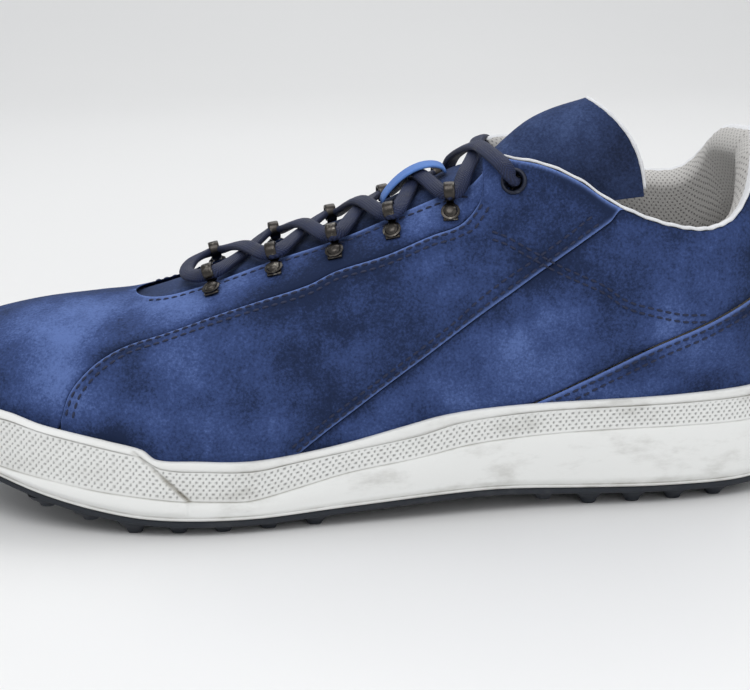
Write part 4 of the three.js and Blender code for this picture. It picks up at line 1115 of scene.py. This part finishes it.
def makeTongue(look):
    # Two shapes blended across the crease: under the lace it follows the instep, and behind the crease it
    # is an arched flap, square to a line that climbs backwards.
    rise = math.radians(look["rise"])
    ahead = np.array([math.cos(rise), 0, math.sin(rise)])
    lift = np.array([-math.sin(rise), 0, math.cos(rise)])
    crease = np.array([look["hinge"][0], look["y"], look["hinge"][1]])
    v = np.sin(np.linspace(-np.pi / 2, np.pi / 2, 61))
    length = np.concatenate(
        [np.linspace(look["start"] - look["hinge"][0], -14, 60), np.linspace(-13, look["length"], 70)])
    table = np.linspace(40, 120, 1600)
    turn = np.interp(look["hinge"][0] + length, topX(table) * half, table)[:, None]
    y = ridgeY(turn) + v * look["half"]
    along = instep(turn + 0.5, y) - instep(turn - 0.5, y)
    over = instep(turn, y + 0.5) - instep(turn, y - 0.5)
    sunk = body["suede"] + body["gap"] + look["tuck"] * smooth(
        10, throat["reach"] - 1, np.abs(v * look["half"]))
    base = instep(turn, y) - norm(np.cross(along, over)) * (sunk + 0 * turn)[..., None]
    u = np.clip(length / look["length"], -0.4, 1)[:, None]
    angle = v * np.pi * 0.47
    narrow = 1 - look["taper"] * smooth(0.55, 1, u)
    deep = -look["depth"] * (1 - np.cos(angle)) * lerp(0.54, 1, np.clip(u, 0, 1))
    # the rear edge swells backwards at its sides and rounds off at the tip
    near = smooth(0.35, 1, u) ** 1.5
    tip = near * (
        look["swell"] * np.sin(
            np.pi * (1 - np.cos(angle)) / 0.906) - look["tipRound"] * np.exp(-(angle / 0.4) ** 2))
    hump = look["hump"] * np.sin(
        np.pi * np.clip(u, 0, 1)) ** 1.2 * np.cos(angle) + look["lift"] * near * np.cos(angle) ** 2
    deep = deep + hump
    reach = look["flapHalf"] * np.sin(angle) * narrow
    flap = (crease + ahead * (length[:, None, None] + tip[..., None]) + lift * deep[..., None]
            + np.array([0, 1, 0]) * reach[..., None])
    flapShare = smooth(-13, 7, length)[:, None, None]
    points = lerp(base, flap, flapShare)
    soft = 0.5 * np.sin(length / 9)[:, None] * np.cos(v * 2.2) * smooth(2, 20, length)[:, None]
    points = points + lift * soft[..., None]
    shade = np.clip(1 - smooth(-40, 10, length), 0, 1)[:, None] * 0.3
    part = sheetOf(points, False, marks={"shade": shade + 0 * v})
    item = makePiece("tongue_padded", [part], [tongueSuede, collarMesh, paleEdge],
                     [
                         "tongue_base", "tongue_base_lining", "tongue_flap", "tongue_flap_foam",
                         "tongue_flap_lining"],
                     carrier=None)
    thicken(item, look["thick"], 1, 2)
    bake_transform(item)
    # a pale binding of brushed lining, turned over the flap's rear edge
    t = np.linspace(0.02, 0.98, 90)
    edge = np.stack([np.interp(t, (v + 1) / 2, points[-1, :, k]) for k in range(3)], -1)
    inner = np.stack([np.interp(t, (v + 1) / 2, points[-3, :, k]) for k in range(3)], -1)
    normal = norm(np.cross(np.gradient(edge, axis=0), edge - inner))
    centre = edge - normal * 0.75 * np.sign(normal[45, 2]) + norm(edge - inner) * look["binding"] * 0.6
    fuzz = look["binding"] * (
        1 + 0.1 * np.sin(t * 90) + 0.07 * np.sin(t * 217)) * np.sqrt(1 - (2 * t - 1) ** 16)
    binding = tubes(centre[None], normal[None], 1.15 * fuzz[None], 0.8 * fuzz[None], 12)
    makePiece("tongue_binding", [binding], [paleEdge], carrier="tongue_flap")
    return item


makeTongue(tongue)

keeper = {"start": 9.5, "end": 30.5, "width": 11, "thick": 1.2, "rise": 5.8}


def makeKeeper(look):
    # a woven tape stitched down at both ends, arched over the lace
    u = np.linspace(0, 1, 40)
    x = lerp(look["start"], look["end"], u)
    z = ridgeZ(x / half) - 1.4 + body["gap"] + look["rise"] * np.sin(np.pi * u) ** 0.6 + look["thick"] / 2
    y = ridgeY(np.degrees(np.arccos(-x / half)))
    centre = np.stack([x, y, z], -1)[None]
    part = tubes(centre, np.array([0, 1.0, 0]) + 0 * centre, look["width"] / 2, look["thick"] / 2, 20, 0.45)
    makePiece("keeper_loop", [part], [keeperTape], ["lace_keeper"])


makeKeeper(keeper)
print("tongue is set")


# ---- lace hardware ----
def turnedPart(profile, place, sides=24, finish=0):
    # A profile of (radius, height) turned about the out direction. It starts and ends on the axis, or
    # closes on itself.
    p = np.array(profile, float)
    angle = np.linspace(0, 2 * np.pi, sides, endpoint=False)
    local = np.stack(
        [np.cos(angle)[:, None] * p[:, 0], np.sin(angle)[:, None] * p[:, 0], 0 * angle[:, None] + p[:, 1]],
        -1)
    return sheetOf(seated(local, place), wrap=True, finish=finish)


def dome(radius, low, height, steps=9):
    t = np.linspace(0, np.pi / 2, steps)
    return [(radius * math.cos(a) ** 0.8, low + height * math.sin(a)) for a in t[:-1]] + [(0, low + height)]


def makeHardware(look):
    seat = body["gap"] + look["strapThick"] + 0.1
    for (side, i), place in loopFrames.items():
        tag = f"{sideName[side]}_{i + 1}"
        ring = look["eye"] + look["strapThick"] / 2
        base = body["gap"] + look["strapThick"] / 2
        around = np.linspace(-np.pi / 2, np.pi * 1.13, 34)
        path = np.concatenate([
            np.stack([np.linspace(-2.9, look["reach"] - 0.4, 14), np.full(14, base)], -1),
            np.stack([look["reach"] + ring * np.cos(around), base + ring + ring * np.sin(around)], -1)])
        local = np.stack([0 * path[:, 0], path[:, 0], path[:, 1]], -1)
        neck = 1 - 0.34 * np.exp(-((path[:, 0] - 3.9) / 1.1) ** 2) * (path[:, 1] < base + 0.6)
        plate = 1 + 0.35 * smooth(2.2, 0.4, path[:, 0])
        centre = seated(local, place)[None]
        wide = place["axes"][0] + 0 * centre
        part = tubes(centre, wide, look["strapWidth"] / 2 * neck * plate, look["strapThick"] / 2, 12, 0.5)
        makePiece(f"loop_strap_{tag}", [part], [bronze], [f"lace_loop_{tag}"])
        profile = [
            (0, seat - 2.9), (1.0, seat - 2.9), (1.0, seat), (look["cap"] - 0.2, seat),
            (look["cap"], seat + 0.25),
                   (look["cap"] - 0.05, seat + 0.55), (look["cap"] - 0.55, seat + 0.7)]
        profile += dome(look["cap"] - 0.75, seat + 0.72, 1.15)
        makePiece(
            f"rivet_cap_{tag}", [turnedPart(profile, place)], [bronze], [f"rivet_{tag}"],
            sharp=50)
    for side, place in eyeletFrames.items():
        lift = upper["proud"] + 0.15
        b, f = look["bore"], look["flange"]
        a = np.linspace(0, np.pi, 10)
        crown = [
            (
                (f + b + 0.3) / 2 + (f - b - 0.3) / 2 * math.cos(t),
                lift + 0.95 * math.sin(t) ** 0.8) for t in a]
        profile = [
            (b, -3.8), (b + 0.45, -3.8), (b + 0.45, lift - 0.1),
            (f - 0.3, lift - 0.1)] + crown + [(b, lift - 0.3), (b, -3.8)]
        name = sideName[side]
        makePiece(f"eyelet_ring_{name}", [turnedPart(profile, place, 40)], [darkEnamel],
                  [f"eyelet_{name}"], sharp=55)


makeHardware(hardware)
print("hardware is riveted")

# ---- cupsole ----
bandTop = through([
    (-1, 39.5), (-0.76, 36.6), (-0.68, 33.7), (-0.603, 31.4), (-0.523, 28.9), (-0.472, 27), (-0.423, 22.9),
    (-0.329, 21.6),
    (-0.225, 20.9), (-0.145, 22.6), (-0.023, 25.3), (0.13, 28.8), (0.22, 32), (0.366, 33.8), (0.555, 34.4),
    (0.865, 34.7), (1, 35.6)])
bandBottom = through([
    (-1, 28.5), (-0.767, 21.1), (-0.66, 18.2), (-0.559, 15.7), (-0.475, 14.1), (-0.391, 12.7),
    (-0.291, 11.7), (-0.235, 11.5),
    (-0.146, 14.2), (-0.023, 18.4), (0.13, 21.6), (0.241, 24.6), (0.4, 26.2), (0.61, 27), (0.867, 26.6),
    (1, 27.5)])
# lip and rim hold (inset, height from the bottom or drop from the top, grime) for each row
cup = {
    "step": 0.47, "pitch": 2.1, "tall": 2.5, "pit": 0.42, "recess": 0.22, "lean": 1.6, "bumper": 0.75,
    "bandRows": 28,
    "lip": [
        (1.2, 0, 0.4), (0.45, 0.1, 0.5), (0.1, 0.5, 0.35), (0.0, 0.95, 0.1), (0.32, 1.25, 0.8),
        (0.05, 1.6, 0.2)],
    "rim": [
        (1.7, 0.35, 0.1), (2.2, 0.05, 0.1), (3.0, 0, 0.15), (4.0, 0.25, 0.3), (4.9, 0.8, 0.6),
        (5.15, 2.4, 0.9), (5.2, 9, 0.5)],
}


def aroundOutline(step):
    # stations of even spacing round the outline: toe to heel on the outer side, and back on the inner side
    fine = np.linspace(0, 360, 7201)
    x, y = outlineRound(fine, 0.0)
    gone = np.concatenate([[0], np.cumsum(np.hypot(np.diff(x), np.diff(y)))])
    count = int(gone[-1] / step)
    at = np.arange(count) * gone[-1] / count
    return np.interp(at, gone, fine), at, gone[-1]


def outlineRound(angle, inset):
    turn = np.where(angle <= 180, angle, 360 - angle)
    lateral, medial = outline(-1, turn, inset), outline(1, turn, inset)
    outer = angle <= 180
    return np.where(outer, lateral[0], medial[0]), np.where(outer, lateral[1], medial[1])


def makeCupsole(look):
    # A section carried round the outline: bottom lip, plain lower band, pitted band between two grooves,
    # rim and inner wall.
    angle, gone, total = aroundOutline(look["step"])
    a = angle[:, None]
    x0 = outlineRound(angle, 0.0)[0][:, None]
    s = x0 / half
    z0 = plateBottom(x0) + body["plate"] + body["gap"] * 0.5
    zb, zt, zr = bandBottom(s), bandTop(s), rim(x0)
    rows = []  # inset, height, pit share, grime

    def row(inset, z, pit=0.0, grime=0.0):
        rows.append([np.broadcast_to(v, x0.shape) for v in (inset, z, pit, grime)])

    def lean(z):
        return look["lean"] * np.clip((z - z0) / (zr - z0), 0, 1)

    row(9, z0)
    for inset, rise, grime in look["lip"]:
        row(inset, z0 + rise, 0, grime)
    for t in np.linspace(0.12, 1, 6):
        z = lerp(z0 + 1.6, zb - 0.5, t)
        row(lean(z) - 0.35 * math.sin(math.pi * t), z)
    row(lean(zb) + 0.05, zb - 0.2, 0, 0.3)
    row(lean(zb) + look["recess"] + 0.2, zb, 0, 0.75)
    for t in np.linspace(0.02, 0.98, look["bandRows"]):
        z = lerp(zb, zt, t)
        wave = np.cos(2 * np.pi * gone[:, None] / (total / round(total / look["pitch"])))
        wave = wave * np.cos(2 * np.pi * (z - zb) / look["tall"])
        pit = smooth(0.25, 0.85, wave) * smooth(0.2, 0.9, z - zb) * smooth(0.2, 0.9, zt - z)
        row(lean(z) + look["recess"] + look["pit"] * pit, z, pit, 0.08)
    row(lean(zt) + look["recess"] + 0.35, zt, 0, 1)
    row(lean(zt) + 0.1, zt + 0.3, 0, 0.45)
    for t in (0.3, 0.65, 1):
        z = lerp(zt + 0.3, zr - 0.9, t)
        row(lean(z) - 0.2 * math.sin(math.pi * t), z, 0, 0.12)
    for inset, drop, grime in look["rim"]:
        row(inset, zr - drop, 0, grime)
    row(9, z0)  # back to the first row, so that the section is closed
    inset, z, pit, grime = [np.concatenate(column, 1) for column in zip(*rows)]
    # the toe bumper stands proud up to a slanting step behind the toes
    stepX = lerp(-55.5, -72.5, np.clip((z - 12.5) / 16, 0, 1))
    wallShare = smooth(z0 + 1.5, z0 + 3, z) * (1 - smooth(zr - 1.5, zr, z))
    front = 1 - smooth(-0.5, 0.7, x0 - stepX)
    crack = np.exp(-((x0 - stepX - 0.6) / 0.75) ** 2) * wallShare * smooth(zb - 1, zb + 1, z)
    inset = inset - look["bumper"] * front * wallShare + 0.55 * crack
    grime = np.clip(grime + crack * 1.3, 0, 1)
    pit = pit * (1 - np.clip(crack * 1.5, 0, 1))
    x, y = outlineRound(a + 0 * inset, inset)
    points = np.stack([x, y, z], -1)
    uv = np.stack([gone[:, None] + 0 * z, z], -1)
    part = sheetOf(points, wrap=True, marks={"pit": pit, "grime": grime}, uv=uv)
    return makePiece("cupsole_shell", [part], [soleWhite], ["cupsole"], weld=0.005)


makeCupsole(cup)

# ---- outsole ----
sole = {"edge": 1.0, "lugPitch": 15, "lugRadius": 3.6, "zones": ((-104, -6), (62, 130))}


def makeOutsole(look):
    # a plate with a rounded edge, and lugs that flare into it so that the valleys between them are
    # scalloped
    turns = np.linspace(0, 180, 241)
    ring = np.concatenate([turns, 360 - turns[1:-1][::-1]])[:, None]
    e = look["edge"]
    insets = np.array([[e + 0.5, e, e, e + 0.4, e + 1.4]])
    x0 = outlineRound(ring, 0.0)[0]
    z = np.concatenate([plateBottom(x0) + h for h in (body["plate"], body["plate"] - 0.4, 0.6, 0.12, 0)], 1)
    x, y = outlineRound(ring + 0 * insets, insets + 0 * ring)
    wall = sheetOf(np.stack([x, y, z], -1), flip=True, wrap=True)
    v = np.linspace(0, 1, 13)[None, :]
    parts = [wall]
    for inset, lift, flip in ((e + 1.4, 0, True), (e + 0.5, body["plate"], False)):
        near, far = outline(-1, turns, inset), outline(1, turns, inset)
        points = np.stack(
            [lerp(near[0][:, None], far[0][:, None], v), lerp(near[1][:, None], far[1][:, None], v)], -1)
        height = plateBottom(stationX(turns))[:, None] + lift + 0 * v
        parts.append(sheetOf(np.concatenate([points, height[..., None]], -1), flip=flip))
    spots = []
    for start, end in look["zones"]:
        for x in np.arange(start, end + 0.1, look["lugPitch"]):
            turn = turnAt(x / half)
            near, far = [np.array(outline(s, turn, e + 2.6 + look["lugRadius"])) for s in (-1, 1)]
            inner = max(round((far[1] - near[1]) / (1.6 * look["lugPitch"])), 1)
            spots += [lerp(near, far, k / inner) for k in range(inner + 1)]
    spots = np.array(spots)
    under = plateBottom(spots[:, 0])
    tip = np.where(under < 5.3, 0, under - 3.2)
    t = np.array([0, 0.3, 0.48, 0.62, 0.76, 0.9, 0.97, 1.0])
    flare = np.array([6.4, 5.4, 4.1, 3.3, 2.8, 2.5, 2.3, 1.9])
    height = lerp((under + 1.0)[:, None], tip[:, None], t[None, :])
    centre = np.stack([spots[:, :1] + 0 * height, spots[:, 1:] + 0 * height, height], -1)
    parts.append(
        tubes(
            centre, np.array([1.0, 0, 0]) + 0 * centre, flare[None, :] + 0 * height,
            flare[None, :] * 0.9 + 0 * height, 16, 0.8))
    makePiece("outsole_lugged", parts, [outsoleDark], ["outsole"], sharp=60)


makeOutsole(sole)


def makeSockliner():
    # a removable footbed, cupped at its edge
    shell = body["suede"] + 2 * body["layerGap"] + body["stiffener"] + body["lining"]
    inset = body["cupWall"] + body["gap"] + shell + 2
    turns = np.linspace(0, 180, 181)
    v = 0.5 - 0.5 * np.cos(np.pi * np.linspace(0, 1, 41))[None, :]
    near, far = outline(-1, turns, inset), outline(1, turns, inset)
    x = lerp(near[0][:, None], far[0][:, None], v)
    y = lerp(near[1][:, None], far[1][:, None], v)
    edge = np.abs(2 * v - 1) ** 8
    z = foamTop(x) + body["gap"] * 2 + body["board"] + body["sockliner"] + 1.2 * edge
    part = sheetOf(np.stack([x, y, z], -1))
    item = makePiece(
        "sockliner_footbed", [part], [collarMesh, openFoam, openFoam], ["sockliner"])
    thicken(item, 3.6, 1, 1)


makeSockliner()
print("sole unit is moulded")

# ---- inner CAD pieces that stay ----
kept = {
    "midsole_foam_insert": openFoam, "insole_board": fibreBoard, "shank": springSteel,
    "eyelet_washer_lateral": bronze, "eyelet_washer_medial": bronze,
}
for node, finish in kept.items():
    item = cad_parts[node]
    item.data.materials.clear()
    item.data.materials.append(finish)

# ---- floor ----
sweep = {"front": -3.0, "bend": 1.1, "radius": 0.9, "height": 4.0, "side": 5.0}


def sweepProfile(look):
    # flat, then a quarter of a circle, then upright: (y, z) down the middle
    angle = np.linspace(0, np.pi / 2, 24)
    y = np.concatenate(
        [[look["front"]], look["bend"] + look["radius"] * np.sin(angle), [look["bend"] + look["radius"]]])
    z = np.concatenate([[0], look["radius"] * (1 - np.cos(angle)), [look["height"]]])
    return y, z


floorData = bpy.data.meshes.new("floor")
y, z = sweepProfile(sweep)
ends = np.array([-sweep["side"], sweep["side"]])
points = np.stack([0 * y[:, None] + ends, y[:, None] + 0 * ends, z[:, None] + 0 * ends], -1)
floorData.from_pydata(points.reshape(-1, 3), [], gridFaces(len(y), 2)[:, ::-1].tolist())
floorData.polygons.foreach_set("use_smooth", np.ones(len(floorData.polygons), bool))
floorData.materials.append(floorFinish("pale_floor"))
floor = bpy.data.objects.new("floor", floorData)
scene.collection.objects.link(floor)
